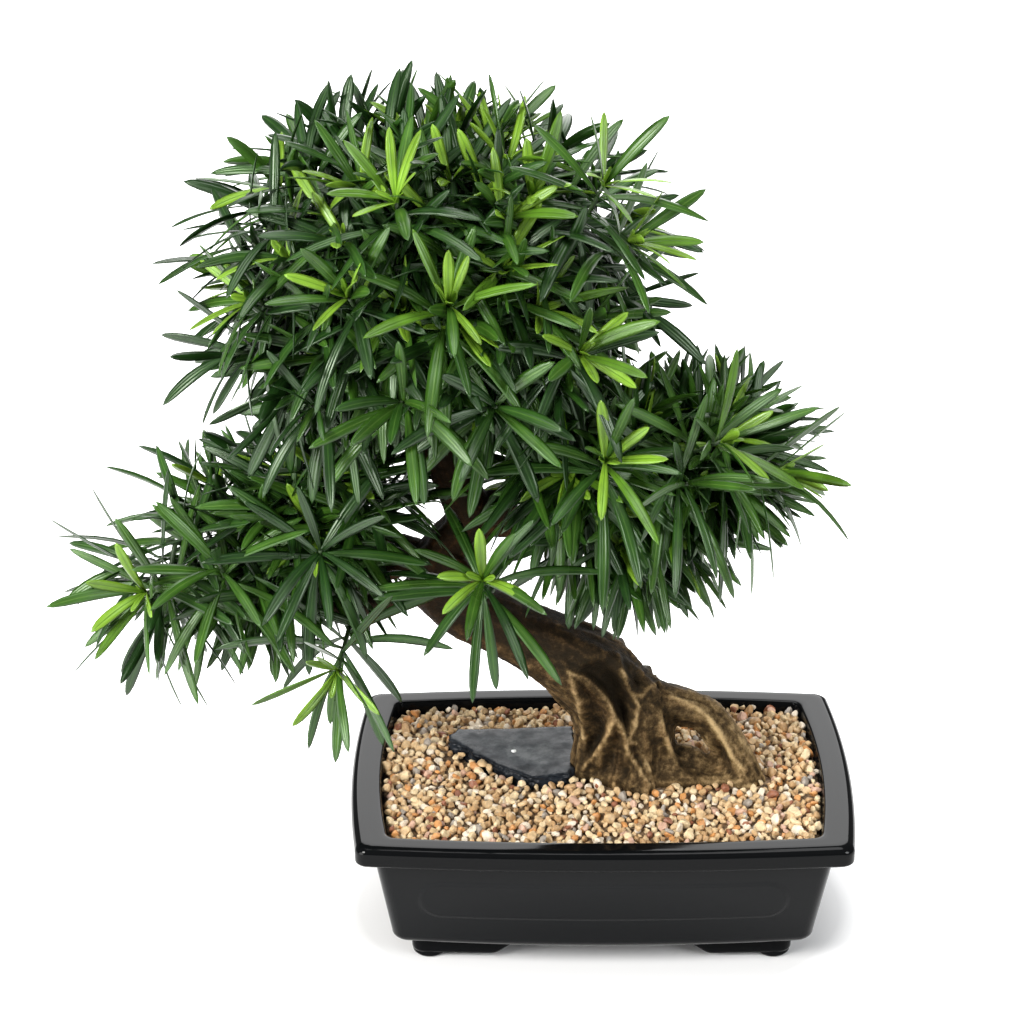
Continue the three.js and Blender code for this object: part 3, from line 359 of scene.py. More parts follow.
def relaxed(piece, times):
    """Evens out a piece's surface by moving each point towards the middle of its neighbours."""
    points = points_of(piece)
    edges = np.zeros(len(piece.data.edges) * 2, dtype=np.int64)
    piece.data.edges.foreach_get("vertices", edges)
    a, b = edges.reshape(-1, 2).T
    count = np.bincount(np.concatenate([a, b]), minlength=len(points))[:, None]
    for _ in range(times):
        total = np.zeros_like(points)
        np.add.at(total, a, points[b])
        np.add.at(total, b, points[a])
        points = lerp(points, total / np.maximum(count, 1), 0.5)
    set_points(piece, points)


def rows_joined(rows, n):
    """Quads between neighbouring rows of n points, each row closed on itself."""
    faces = []
    for r in range(rows - 1):
        for i in range(n):
            j = (i + 1) % n
            faces.append((r * n + i, r * n + j, (r + 1) * n + j, (r + 1) * n + i))
    return faces


def stacked(rings, caps=True):
    """Points and faces of a body through rings of equal count, closed with a fan at each end."""
    rings = np.asarray(rings)
    rows, n = rings.shape[:2]
    points = rings.reshape(-1, 3)
    faces = rows_joined(rows, n)
    if caps:
        first = len(points)
        points = np.vstack([points, rings[0].mean(0), rings[-1].mean(0)])
        top = (rows - 1) * n
        for i in range(n):
            j = (i + 1) % n
            faces.append((first, j, i))
            faces.append((first + 1, top + i, top + j))
    return points, faces


def joined(parts):
    """One list of points and faces from several."""
    points, faces, start = [], [], 0
    for part_points, part_faces in parts:
        points.append(part_points)
        faces.extend([tuple(i + start for i in face) for face in part_faces])
        start += len(part_points)
    return np.vstack(points), faces


# Materials

def feed(made, sockets):
    """Gives a node's inputs their values, or links them to other nodes' outputs."""
    for key, value in sockets.items():
        if isinstance(value, bpy.types.NodeSocket):
            made.id_data.links.new(value, made.inputs[key])
        else:
            made.inputs[key].default_value = value


def result(material, kind, output, sockets=None, **settings):
    """One output of a new node."""
    made = material.node_tree.nodes.new(kind)
    for key, value in settings.items():
        setattr(made, key, value)
    feed(made, sockets or {})
    return made.outputs[output]


def drive(material, sockets):
    feed(material.node_tree.nodes["Principled BSDF"], sockets)


def new_material(name, colour, roughness, **shine):
    material = bpy.data.materials.new(name)
    material.use_nodes = True
    drive(material, {"Base Color": (*colour, 1), "Roughness": roughness})
    drive(material, {key.replace("_", " "): value for key, value in shine.items()})
    return material


def attribute(material, name):
    return result(material, "ShaderNodeAttribute", "Fac", attribute_name=name)


def calculated(material, operation, *values, clamp=False):
    sockets = dict(enumerate(values))
    return result(material, "ShaderNodeMath", "Value", sockets, operation=operation, use_clamp=clamp)


def noise_at(material, scale, detail=3.0, roughness=0.55):
    """Noise in object space, which sticks to the piece."""
    place = result(material, "ShaderNodeTexCoord", "Object")
    sockets = {"Vector": place, "Scale": scale, "Detail": detail, "Roughness": roughness}
    return result(material, "ShaderNodeTexNoise", "Fac", sockets)


def ramp(material, value, stops):
    """Colour ramp from (place, colour) stops."""
    output = result(material, "ShaderNodeValToRGB", "Color", {"Fac": value})
    elements = output.node.color_ramp.elements
    while len(elements) < len(stops):
        elements.new(0.5)
    for element, (place, colour) in zip(elements, stops):
        element.position = place
        element.color = (*colour, 1)
    return output


def mixed(material, factor, low, high):
    return result(material, "ShaderNodeMix", 2, {"Factor": factor, 6: low, 7: high}, data_type="RGBA")


def span(material, value, low, high):
    """Maps a 0 to 1 value to a range."""
    return result(material, "ShaderNodeMapRange", "Result", {"Value": value, "To Min": low, "To Max": high})


def bump(material, height, strength, distance):
    sockets = {"Height": height, "Strength": strength, "Distance": distance * MM}
    drive(material, {"Normal": result(material, "ShaderNodeBump", "Normal", sockets)})


def scaled(colour, factor):
    return tuple(min(1, factor * c) for c in colour)


def glaze(name, specular, shade):
    colour = (shade, 1.1 * shade, 1.23 * shade)
    material = new_material("glaze_" + name, colour, 0.08, Specular_IOR_Level=specular)
    bump(material, noise_at(material, 22, 2.0), 0.05, 1.2)
    drive(material, {"Roughness": span(material, noise_at(material, 60), 0.06, 0.13)})
    return material


def slate():
    """Satin on the flat top, nearly black and glossy where it is broken. The top is painted darker towards
    its back and towards the trunk as painted shade, which leaves a painted reflection on its front.
    """
    material = new_material("slate", (0.05, 0.056, 0.062), 0.5, Specular_IOR_Level=0.12)
    flat = attribute(material, "flatness_and_painted_shade")
    cloud = noise_at(material, 60, 7.0, 0.65)
    colour = mixed(material, flat, ramp(material, cloud, SLATE_BROKEN), ramp(material, cloud, SLATE_TOP))
    drive(material, {"Base Color": colour, "Roughness": span(material, flat, 0.24, 0.62)})
    bump(material, noise_at(material, 260, 6.0, 0.7), 0.3, 0.6)
    return material


def bark():
    """Dark in the hollows, partly the bark's own dark and partly painted shade, tan on rubbed ridges, redder
    higher up, all of it rough and mottled.
    """
    warm = (1, 0.85, 0.6, 1)
    material = new_material("bark", (0.1, 0.06, 0.03), 0.6, Specular_IOR_Level=0.16, Specular_Tint=warm)
    mottle = calculated(material, "MULTIPLY_ADD", noise_at(material, 240, 9.0, 0.78), 1.3, -0.63)
    tone_and_painted_shade = calculated(material, "ADD", attribute(material, "relief"), mottle, clamp=True)
    brown, rust = ramp(material, tone_and_painted_shade, BARK_BROWN), ramp(material, tone_and_painted_shade, BARK_RUST)
    drive(material, {"Base Color": mixed(material, attribute(material, "redness"), brown, rust)})
    bump(material, noise_at(material, 420, 9.0, 0.75), 0.75, 1.6)
    return material


def pebble_materials():
    made = []
    for name, colour, _ in PEBBLE_COLOURS:
        material = new_material("pebble_" + name, colour, 0.5)
        stops = [(0.25, scaled(colour, 0.62)), (0.5, colour), (0.8, scaled(colour, 1.3))]
        drive(material, {"Base Color": ramp(material, noise_at(material, 380, 4.0, 0.6), stops)})
        bump(material, noise_at(material, 1500), 0.25, 0.4)
        made.append(material)
    return made


def leaf_materials():
    greenish = (0.84, 1.0, 0.78, 1)
    made = []
    for name, colour in LEAF_COLOURS:
        material = new_material("leaf_" + name, colour, 0.24, Specular_IOR_Level=0.45, Specular_Tint=greenish)
        cloud = noise_at(material, 45, 2.0)
        shade = ramp(material, cloud, [(0.3, scaled(colour, 0.66)), (0.7, scaled(colour, 1.34))])
        drive(material, {"Base Color": shade, "Roughness": span(material, cloud, 0.2, 0.4)})
        waves = calculated(material, "MULTIPLY", attribute(material, "across"), LEAF_FIBRES)
        bump(material, calculated(material, "SINE", waves), 0.35, 0.12)
        made.append(material)
    return made


# Pot

def oblong(half_x, half_y, z, bow=SIDE_BOW, corner_steps=9, long_steps=180, short_steps=96):
    """Ring with bowed sides and round corners, anticlockwise from its right side."""
    ring = []
    cx, cy = half_x - CORNER, half_y - CORNER

    def quarter(x, y, start):
        for i in range(corner_steps + 1):
            a = start + math.pi / 2 * i / corner_steps
            ring.append((x + CORNER * math.cos(a), y + CORNER * math.sin(a), z))

    def side(x0, y0, x1, y1, out_x, out_y, steps):
        for i in range(1, steps):
            t = i / steps
            out = bow * (1 - (2 * t - 1) ** 2)
            ring.append((lerp(x0, x1, t) + out_x * out, lerp(y0, y1, t) + out_y * out, z))

    quarter(cx, cy, 0)
    side(cx, half_y, -cx, half_y, 0, 1, long_steps)
    quarter(-cx, cy, math.pi / 2)
    side(-half_x, cy, -half_x, -cy, -1, 0, short_steps)
    quarter(-cx, -cy, math.pi)
    side(-cx, -half_y, cx, -half_y, 0, -1, long_steps)
    quarter(cx, -cy, 1.5 * math.pi)
    side(half_x, -cy, half_x, cy, 1, 0, short_steps)
    return np.array(ring)


def cavity_ring(z, gap=0.0, **steps):
    lean = CAVITY_TAPER * (RIM_TOP - z) / (RIM_TOP - CAVITY_FLOOR)
    return oblong(RIM_LONG / 2 - LIP_WIDE - lean - gap, RIM_DEEP / 2 - LIP_NARROW - lean - gap, z, **steps)


def arc(centre_inset, centre_z, radius, start, end, steps):
    """Rounded edge of the pot's profile as (inset, height) pairs; angle 0 points outwards and 90 up."""
    turns = np.radians(np.linspace(start, end, steps))
    return [(centre_inset - radius * math.cos(a), centre_z + radius * math.sin(a)) for a in turns]


def panel_lift(along, z, half):
    """Height of the raised panel with round ends on the body's side."""
    middle, radius = (PANEL_LOW + PANEL_HIGH) / 2, (PANEL_HIGH - PANEL_LOW) / 2
    over = np.maximum(np.abs(along) - (half - radius), 0)
    inside = radius - np.hypot(over, z - middle)
    return PANEL_PROUD * smooth(-PANEL_EDGE / 2, PANEL_EDGE / 2, inside)


def pot_shell():
    lip_low = RIM_TOP - LIP_DEPTH
    foot = BODY_INSET + BODY_TAPER
    body_low, body_high = BODY_BOTTOM + BOTTOM_ROUND, lip_low - COVE_HEIGHT
    profile = arc(foot + BOTTOM_ROUND, body_low, BOTTOM_ROUND, -90, 0, 9)
    for z in np.linspace(body_low, body_high, BODY_ROWS)[1:]:
        profile.append((lerp(foot, BODY_INSET, (z - body_low) / (body_high - body_low)), z))
    profile += [(BODY_INSET + COVE_DEPTH * s, body_high + COVE_HEIGHT * t) for s, t in COVE]
    profile += [(LIP_UNDERSIDE, lip_low)]
    profile += arc(LIP_LOW_ROUND, lip_low + LIP_LOW_ROUND, LIP_LOW_ROUND, -90, 0, 7)
    profile += [(0, lip_low + 4), (0, RIM_TOP - LIP_ROUND - 1)]
    profile += arc(LIP_ROUND, RIM_TOP - LIP_ROUND, LIP_ROUND, 0, 90, 9)
    rings = [oblong(RIM_LONG / 2 - inset, RIM_DEEP / 2 - inset, z) for inset, z in profile]
    outer_edge, inner_edge = rings[-1], cavity_ring(RIM_TOP, -LIP_INNER_ROUND)
    rings += [lerp(outer_edge, inner_edge, t) for t in (0.25, 0.5, 0.75)]
    for angle in np.radians(np.linspace(90, 0, 7)):
        ring = cavity_ring(RIM_TOP, LIP_INNER_ROUND * math.cos(angle) - LIP_INNER_ROUND)
        rings.append(ring - UP * LIP_INNER_ROUND * (1 - math.sin(angle)))
    rings += [cavity_ring(z) for z in np.linspace(RIM_TOP - 2.6, CAVITY_FLOOR, 9)]
    points, faces = stacked(rings)
    x, y, z = points.T
    outside = np.arange(len(points)) < len(profile) * len(rings[0])
    for axis, along, half, rim in ((1, x, PANEL_HALF, RIM_DEEP), (0, y, SIDE_PANEL_HALF, RIM_LONG)):
        wall = rim / 2 - BODY_INSET - BODY_TAPER
        facing = smooth(wall - 3, wall, np.abs(points[:, axis]))
        points[:, axis] += np.sign(points[:, axis]) * facing * outside * panel_lift(along, z, half)
    return points, faces


def apron_wall():
    """Low wall under the body, whose foot rises to an arch in the middle of each side."""
    top = BODY_BOTTOM + 2.5

    def foot(points):
        x, y = np.abs(points[:, :2]).T
        long_side = y / APRON_DEEP > x / APRON_LONG
        along = np.where(long_side, x, y)
        wide = np.where(long_side, ARCH_LOW, SIDE_ARCH_LOW) / 2 + ARCH_BLEND
        narrow = np.where(long_side, ARCH_TOP, SIDE_ARCH_TOP) / 2
        return APRON_LOW + ARCH_RISE * smooth(wide, narrow, along)

    def ring(inset, share):
        points = oblong(APRON_LONG / 2 - inset, APRON_DEEP / 2 - inset, 0, bow=APRON_BOW)
        points[:, 2] = lerp(foot(points), top, share)
        return points

    outer = [ring(1.6, 0.0), ring(0.5, 0.04)] + [ring(0, s) for s in (0.14, 0.35, 0.6, 0.85, 1.0)]
    inner = [ring(APRON_WALL, s) for s in (1.0, 0.5, 0.1)] + [ring(APRON_WALL - 1.6, 0.0)]
    return stacked(outer + inner + [outer[0]], caps=False)


def pads():
    turns = np.linspace(0, FULL_TURN, PAD_SIDES, endpoint=False)
    made = []
    for x in (-PAD_X, PAD_X):
        for y in (-PAD_Y, PAD_Y):
            rings = []
            for inset, z in PAD_PROFILE:
                r = PAD_RADIUS - inset
                rings.append([(x + r * math.cos(a), y + r * math.sin(a), z) for a in turns])
            made.append(stacked(rings))
    return made


def make_pot():
    points, faces = joined([pot_shell(), apron_wall(), *pads()])
    # Glaze copies by height: the weaker reflection below the rim's top is painted shade
    heights = [points[list(face), 2].mean() for face in faces]
    picks = np.digitize(heights, [end for end, *_ in GLAZES_WITH_PAINTED_SHADE[:-1]])
    piece = add_mesh("pot_glazed", points, faces, [glaze(*kind) for _, *kind in GLAZES_WITH_PAINTED_SHADE], picks)
    return dress(piece, "pot_glaze", "pot")


# Limbs

def curve_through(stations, spacing):
    """Even middles and radii along a centripetal Catmull-Rom curve through (x, y, z, radius) stations."""
    p = np.array(stations, dtype=float)
    ends = np.vstack([2 * p[0] - p[1], p, 2 * p[-1] - p[-2]])
    dense, radii = [], []
    for i in range(1, len(ends) - 2):
        x0, x1, x2, x3 = ends[i - 1:i + 3, :3]
        d0, d1, d2 = (max(np.linalg.norm(b - a), 1e-6) ** 0.5 for a, b in ((x0, x1), (x1, x2), (x2, x3)))
        m1 = ((x1 - x0) / d0 - (x2 - x0) / (d0 + d1) + (x2 - x1) / d1) * d1
        m2 = ((x2 - x1) / d1 - (x3 - x1) / (d1 + d2) + (x3 - x2) / d2) * d1
        square, cube = -3 * x1 + 3 * x2 - 2 * m1 - m2, 2 * x1 - 2 * x2 + m1 + m2
        for t in np.linspace(0, 1, 24, endpoint=i == len(ends) - 3):
            dense.append(x1 + m1 * t + square * t**2 + cube * t**3)
            radii.append(lerp(ends[i, 3], ends[i + 1, 3], t))
    dense = np.array(dense)
    run = np.concatenate([[0], np.cumsum(lengths(np.diff(dense, axis=0)))])
    places = np.linspace(0, run[-1], max(3, int(run[-1] / spacing) + 1))
    middles = np.column_stack([np.interp(places, run, dense[:, k]) for k in range(3)])
    return middles, np.interp(places, run, radii), places / run[-1]


def limb(stations, sides=28, spacing=3.0, section=None):
    """Closed tube; section(angles, share) scales its radius to the front and to the side."""
    middles, radii, along = curve_through(stations, spacing)
    tangents = np.gradient(middles, axis=0)
    front = np.array([0.0, -1.0, 0.0])
    if abs(unit(tangents[0]) @ front) > 0.9:
        front = UP.copy()
    rings = []
    angles = np.linspace(0, FULL_TURN, sides, endpoint=False)
    for k, middle in enumerate(middles):
        tangent = unit(tangents[k])
        front = unit(front - tangent * (tangent @ front))
        side = np.cross(tangent, front)
        deep, wide = section(angles, along[k]) if section else (1.0, 1.0)
        rings.append(middle + (radii[k] * deep * np.cos(angles))[:, None] * front
                     + (radii[k] * wide * np.sin(angles))[:, None] * side)
    return stacked(rings)


def trunk_section(angles, share):
    wave = 1 + TRUNK_FLUTE * np.cos(TRUNK_FLUTES * angles + TRUNK_TWIST * share)
    flat = lerp(TRUNK_FLAT, 1, min(1, share / FLAT_UNTIL))
    return wave * flat, wave


def seen_on_plane(points):
    """Where each point shows on the relief's plane, for the eye that the relief was laid out from."""
    share = (RELIEF_PLANE - EYE[1]) / (points[:, 1] - EYE[1])
    return EYE[0] + share * (points[:, 0] - EYE[0]), EYE[2] + share * (points[:, 2] - EYE[2])


def line_distance(x, z, line):
    best = np.full(len(x), 1e9)
    for (ax, az), (bx, bz) in zip(line, line[1:]):
        dx, dz = bx - ax, bz - az
        t = np.clip(((x - ax) * dx + (z - az) * dz) / (dx * dx + dz * dz), 0, 1)
        best = np.minimum(best, np.hypot(x - ax - t * dx, z - az - t * dz))
    return best


def edge_distance(x, z, outline):
    return line_distance(x, z, outline + outline[:1])


def inside_outline(x, z, outline):
    inside = np.zeros(len(x), dtype=bool)
    for (ax, az), (bx, bz) in zip(outline, outline[1:] + outline[:1]):
        crosses = (az > z) != (bz > z)
        inside ^= crosses & (x < (bx - ax) * (z - az) / (bz - az + 1e-12) + ax)
    return inside


def relief_at(x, z):
    """Ridge and hollow heights of the moulded bark at places on the relief's plane."""
    ridge = np.zeros(len(x))
    for line in RIDGES:
        ridge = np.maximum(ridge, np.exp(-(line_distance(x, z, line) / RIDGE_WIDE) ** 2))
    hollow = np.zeros(len(x))
    for depth, outline in HOLLOWS:
        edge = edge_distance(x, z, outline)
        inside = inside_outline(x, z, outline)
        hollow = np.maximum(hollow, depth * smooth(-1.5, 5.5, np.where(inside, edge, -edge)))
    return ridge, hollow * (1 - 0.8 * smooth(158, 178, z))


def grain_at(points):
    """Fine and broad fibre patterns drawn out lengthwise along the nearest limb."""
    middles, radii, tangents = [], [], []
    for stations in LIMBS:
        m, r, _ = curve_through(stations, 4.0)
        middles.append(m)
        radii.append(r)
        tangents.append(np.array([unit(v) for v in np.gradient(m, axis=0)]))
    middles, radii, tangents = np.vstack(middles), np.concatenate(radii), np.vstack(tangents)
    best = np.full(len(points), 1e9)
    nearest = np.zeros(len(points), dtype=int)
    for k in range(len(middles)):
        away = lengths(points - middles[k]) / radii[k]
        closer = away < best
        best[closer], nearest[closer] = away[closer], k
    out = points - middles[nearest]
    t = tangents[nearest]
    out -= t * np.sum(out * t, axis=1)[:, None]
    run = np.cumsum(np.concatenate([[0], lengths(np.diff(middles, axis=0))]))[nearest]
    fine, broad = np.zeros(len(points)), np.zeros(len(points))
    for i, o in enumerate(out):
        fine[i] = noise.noise((o[0] * 0.55, o[1] * 0.55 + run[i] * 0.045, o[2] * 0.55))
        broad[i] = noise.noise((o[0] * 0.16 + 7, o[1] * 0.16, o[2] * 0.16 + run[i] * 0.018))
    return fine, broad


def make_trunk():
    stems = [limb(TRUNK, TRUNK_SIDES, section=trunk_section)]
    stems += [limb(root) for root in ROOTS]
    stems += [limb(bough, BOUGH_SIDES) for bough in BOUGHS.values()]
    points, faces = joined(stems)
    piece = add_mesh("trunk_bark", points, faces, [bark()])
    remeshed(piece, BARK_VOXEL)
    relaxed(piece, 5)
    cut_foot(piece, GRAVEL_FLOOR + BED_GAP)
    points, normals = points_of(piece), read_vectors(piece, "normal")
    fine, broad = grain_at(points)
    x, _, height = points.T
    # The back has the front's relief, turned round and moved a little
    facing, behind = smooth(-0.1, 0.4, -normals[:, 1]), smooth(-0.1, 0.4, normals[:, 1])
    ridge, hollow = relief_at(*seen_on_plane(points))
    back_ridge, back_hollow = relief_at(np.where(x < 30, 18 - x * 0.9, x - 2), height + 6)
    ridge = ridge * facing + back_ridge * behind
    hollow = hollow * facing + back_hollow * behind * 0.8
    coarse = 1 - 0.65 * smooth(150, 230, height)
    pits = np.array([noise.fractal(Vector(p * 0.22), 0.7, 2.1, 3) for p in points])
    lift = RIDGE_HIGH * ridge - HOLLOW_DEEP * hollow * (1 - 0.8 * ridge)
    lift += coarse * (FINE_HIGH * fine + BROAD_HIGH * broad)
    lift += PITS_HIGH * pits
    lift *= smooth(GRAVEL_FLOOR, GRAVEL_FLOOR + 6, height)
    set_points(piece, points + normals * lift[:, None])
    # Darker in the hollows: partly the bark's own dark, partly painted shade. Lighter on the right root and
    # darker higher up
    tone_and_painted_shade = 0.375 + 0.32 * ridge ** 1.7 - 0.05 * hollow + 0.22 * fine + 0.26 * broad + 0.14 * pits
    tone_and_painted_shade += 0.2 * smooth(38, 62, x) - 0.17 * smooth(138, 185, height)
    add_attribute(piece, "relief", np.clip(tone_and_painted_shade, 0, 1))
    redness = 0.15 + 0.75 * smooth(165, 215, height) + 0.2 * smooth(0.1, 0.6, broad)
    add_attribute(piece, "redness", np.clip(redness, 0, 1))
    nodes = ["trunk"] + ["bough_" + name for name in BOUGHS]
    return dress(piece, "bark", *nodes)


def cut_foot(piece, height):
    """Cuts a piece flat at a height and closes it."""
    mesh = bmesh.new()
    mesh.from_mesh(piece.data)
    plane = Vector(HOME + np.array([0, 0, height * MM]))
    everything = mesh.verts[:] + mesh.edges[:] + mesh.faces[:]
    cut = bmesh.ops.bisect_plane(mesh, geom=everything, plane_co=plane, plane_no=(0, 0, 1), clear_inner=True)
    edges = [e for e in cut["geom_cut"] if isinstance(e, bmesh.types.BMEdge)]
    bmesh.ops.holes_fill(mesh, edges=edges, sides=0)
    mesh.to_mesh(piece.data)
    mesh.free()
    piece.data.update()


# Slab

def slab_ring(z, spread, rise):
    middle = np.array(SLAB_MIDDLE)
    ring = []
    for x, y in SLAB_OUTLINE:
        out = np.array([x, y]) - middle
        place = middle + unit(out) * (np.linalg.norm(out) + spread)
        ring.append((*place, z + rise * smooth(SLAB_RISE_FROM, SLAB_RISE_TO, x)))
    return ring


def make_slab():
    points, faces = stacked([slab_ring(GRAVEL_FLOOR + BED_GAP, 1.5, 0), slab_ring(SLAB_TOP, -1.2, SLAB_RISE)])
    piece = add_mesh("slab_slate", points, faces, [slate()])
    remeshed(piece, SLAB_VOXEL)
    relaxed(piece, 3)
    points, normals = points_of(piece), read_vectors(piece, "normal")
    side = 1 - smooth(0.45, 0.85, np.abs(normals[:, 2]))
    rough = np.array([noise.fractal(Vector(p * 0.11), 0.6, 2.1, 4) for p in points])
    ledges = np.array([noise.noise(Vector(p * (0.07, 0.07, 0.3))) for p in points])
    lift = side * (EDGE_ROUGH * rough - EDGE_LEDGES * np.abs(ledges)) + (1 - side) * TOP_ROUGH * rough
    set_points(piece, points + normals * lift[:, None])
    x, y, height = points.T
    # Painted shade on the top: darker towards the back and towards the trunk, leaving a lighter painted
    # reflection at the front
    back = np.clip(0.5 * smooth(8, 34, y) + 0.9 * smooth(-44, -14, x), 0, 1)
    inner = smooth(1.5, 9.0, edge_distance(x, y, SLAB_OUTLINE) + 5.0 * rough)
    flatness_and_painted_shade = (1 - side) * inner * (1 - 0.6 * back + 0.5 * rough)
    add_attribute(piece, "flatness_and_painted_shade", np.clip(flatness_and_painted_shade, 0, 1))
    add_chip(height[np.hypot(x - CHIP_AT[0], y - CHIP_AT[1]) < 2].max())
    return dress(piece, "slate", "slab")


def add_chip(height):
    """The small white chip that lies on the slab."""
    shapes, faces = pebble_shapes(1)
    points = shapes[0] * CHIP_SIZE + (*CHIP_AT, height + CHIP_LIFT)
    material = new_material("chip", (0.85, 0.85, 0.83), 0.6)
    dress(add_mesh("slab_chip", points, faces, [material], smooth_faces=False), "gravel")


# Gravel

def gravel_height(x, y):
    heap = GRAVEL_HEAP * np.exp(-((x - HEAP_X) / HEAP_HALF_X) ** 2 - ((y - HEAP_Y) / HEAP_HALF_Y) ** 2)
    return GRAVEL_TOP + heap


def make_shaded_bed():
    """Bed that shows between the pebbles, coloured dark as painted shade."""
    steps = {"corner_steps": 3, "long_steps": 40, "short_steps": 26}
    rings = [cavity_ring(z, BED_GAP, **steps) for z in (GRAVEL_FLOOR + BED_GAP, GRAVEL_EDGE - 3)]
    edge = rings[-1]
    for share in np.linspace(0.97, 0.02, BED_RINGS):
        ring = edge * (share, share, 1)
        ring[:, 2] = gravel_height(*ring[:, :2].T) - BED_SINK
        rings.append(ring)
    points, faces = stacked(rings)
    # Painted shade: a dark brown sheet for the shaded gaps between pebbles
    material = new_material("gravel_bed_painted_shade", (0.16, 0.1, 0.055), 0.9)
    grain = noise_at(material, 300, 4.0)
    stops = [(0.3, (0.05, 0.03, 0.018)), (0.7, (0.3, 0.2, 0.11))]
    drive(material, {"Base Color": ramp(material, grain, stops)})
    bump(material, grain, 0.8, 2.0)
    return dress(add_mesh("gravel_bed_painted_shade", points, faces, [material]), "gravel", "gravel")


def pebble_shapes(count):
    """Small broken stones: unit balls with a few flats cut on them."""
    mesh = bmesh.new()
    bmesh.ops.create_icosphere(mesh, subdivisions=2, radius=1.0)
    ball = np.array([v.co for v in mesh.verts])
    faces = np.array([[v.index for v in f.verts] for f in mesh.faces])
    mesh.free()
    random = random_from(3)
    shapes = []
    for _ in range(count):
        points = ball.copy()
        for _ in range(PEBBLE_CUTS):
            direction = unit(random.normal(size=3))
            over = np.maximum(points @ direction - random.uniform(*PEBBLE_REACH), 0)
            points -= over[:, None] * direction
        points *= (1.0, random.uniform(*PEBBLE_WIDE), random.uniform(*PEBBLE_HIGH))
        shapes.append(points)
    return shapes, faces


def turned(random):
    """Random rotation."""
    w, x, y, z = unit(random.normal(size=4))
    return np.array([
        [1 - 2 * (y * y + z * z), 2 * (x * y - z * w), 2 * (x * z + y * w)],
        [2 * (x * y + z * w), 1 - 2 * (x * x + z * z), 2 * (y * z - x * w)],
        [2 * (x * z - y * w), 2 * (y * z + x * w), 1 - 2 * (x * x + y * y)]])


def buried(place, obstacles):
    """Whether a place is inside an obstacle or nearly touches it."""
    spot, up = Vector(place * MM + HOME), Vector(UP)
    for tree in obstacles:
        if tree.find_nearest(spot)[3] < PEBBLE_GAP * MM:
            return True
        crossings, hit = 0, tree.ray_cast(spot, up)[0]
        while hit is not None and crossings < MOST_CROSSINGS:
            crossings += 1
            hit = tree.ray_cast(hit + up * RAY_STEP, up)[0]
        if crossings % 2:
            return True
    return False


def pebble_places(random, edge):
    """Place, lift and size of each pebble: uneven rows, the upper layer thin, banked up round the slab."""
    places = []
    half_x, half_y, _ = np.abs(edge).max(0)
    row_gap = PEBBLE_SPACING * math.sqrt(3) / 2
    for layer in range(PEBBLE_LAYERS):
        for r in range(int(2 * half_y / row_gap) + 1):
            for c in range(int(2 * half_x / PEBBLE_SPACING) + 1):
                across = (c + 0.5 * (r % 2)) * PEBBLE_SPACING
                x = -half_x + across + random.uniform(-PEBBLE_SHIFT, PEBBLE_SHIFT)
                y = -half_y + r * row_gap + random.uniform(-PEBBLE_SHIFT, PEBBLE_SHIFT)
                grade = PEBBLE_SMALL if random.random() < SMALL_SHARE else PEBBLE_LARGE
                size = random.uniform(*grade)
                if layer and random.random() > UPPER_SHARE:
                    continue
                places.append((x, y, random.uniform(*PEBBLE_LIFT) + layer * LAYER_RISE, size))
    places = np.array(places)
    places = places[inside_outline(*places[:, :2].T, edge[:, :2].tolist())]
    by_slab = edge_distance(*places[:, :2].T, SLAB_OUTLINE)
    places[:, 2] += SLAB_BANK * np.exp(-(by_slab / SLAB_BANK_WIDE) ** 2)
    return places, half_x


def make_pebbles(*obstacle_pieces):
    random = random_from(17)
    obstacles = [BVHTree.FromObject(o, bpy.context.evaluated_depsgraph_get()) for o in obstacle_pieces]
    edge = cavity_ring(GRAVEL_TOP, 1.6, corner_steps=3, long_steps=30, short_steps=20)
    places, half_x = pebble_places(random, edge)
    shapes, shape_faces = pebble_shapes(PEBBLE_KINDS)
    shares = np.array([share for _, _, share in PEBBLE_COLOURS], dtype=float)
    shares /= shares.sum()
    groups = {}
    for x, y, lift, size in places:
        middle = np.array([x, y, gravel_height(x, y) - PEBBLE_SINK + lift])
        if buried(middle, obstacles):
            continue
        stone = shapes[random.integers(len(shapes))] @ turned(random).T * size
        stone += middle
        stone[:, 2] -= max(0, stone[:, 2].max() - RIM_TOP - PEBBLE_OVER_RIM)
        colour = int(random.choice(len(shares), p=shares))
        zone = int(np.clip((x + half_x) / (2 * half_x) * PEBBLE_PIECES, 0, PEBBLE_PIECES - 1))
        groups.setdefault(zone, []).append((stone, colour))
    materials = pebble_materials()
    for zone, stones in sorted(groups.items()):
        points = np.vstack([stone for stone, _ in stones])
        starts = np.arange(len(stones)) * len(shapes[0])
        faces = (shape_faces[None] + starts[:, None, None]).reshape(-1, 3)
        picks = np.repeat([colour for _, colour in stones], len(shape_faces))
        dress(add_mesh(f"pebbles_{zone + 1}", points, faces, materials, picks, smooth_faces=False), "gravel")


# Foliage

def limb_segments():
    segments = []
    for stations in LIMBS:
        for a, b in zip(stations, stations[1:]):
            segments.append((np.array(a[:3], float), np.array(b[:3], float), max(a[3], b[3])))
    return segments


def misses_limbs(points, segments):
    """Whether points along a leaf stay clear of the limbs, the pot and the gravel."""
    over_pot = (np.abs(points[:, :2]) < np.array([RIM_LONG, RIM_DEEP]) / 2 + POT_GAP).all(axis=1)
    if (over_pot & (points[:, 2] < RIM_TOP + RIM_GAP)).any():
        return False
    for a, b, radius in segments:
        line = b - a
        t = np.clip((points - a) @ line / (line @ line), 0, 1)
        if (lengths(points - a - t[:, None] * line) < radius + LIMB_GAP).any():
            return False
    return True


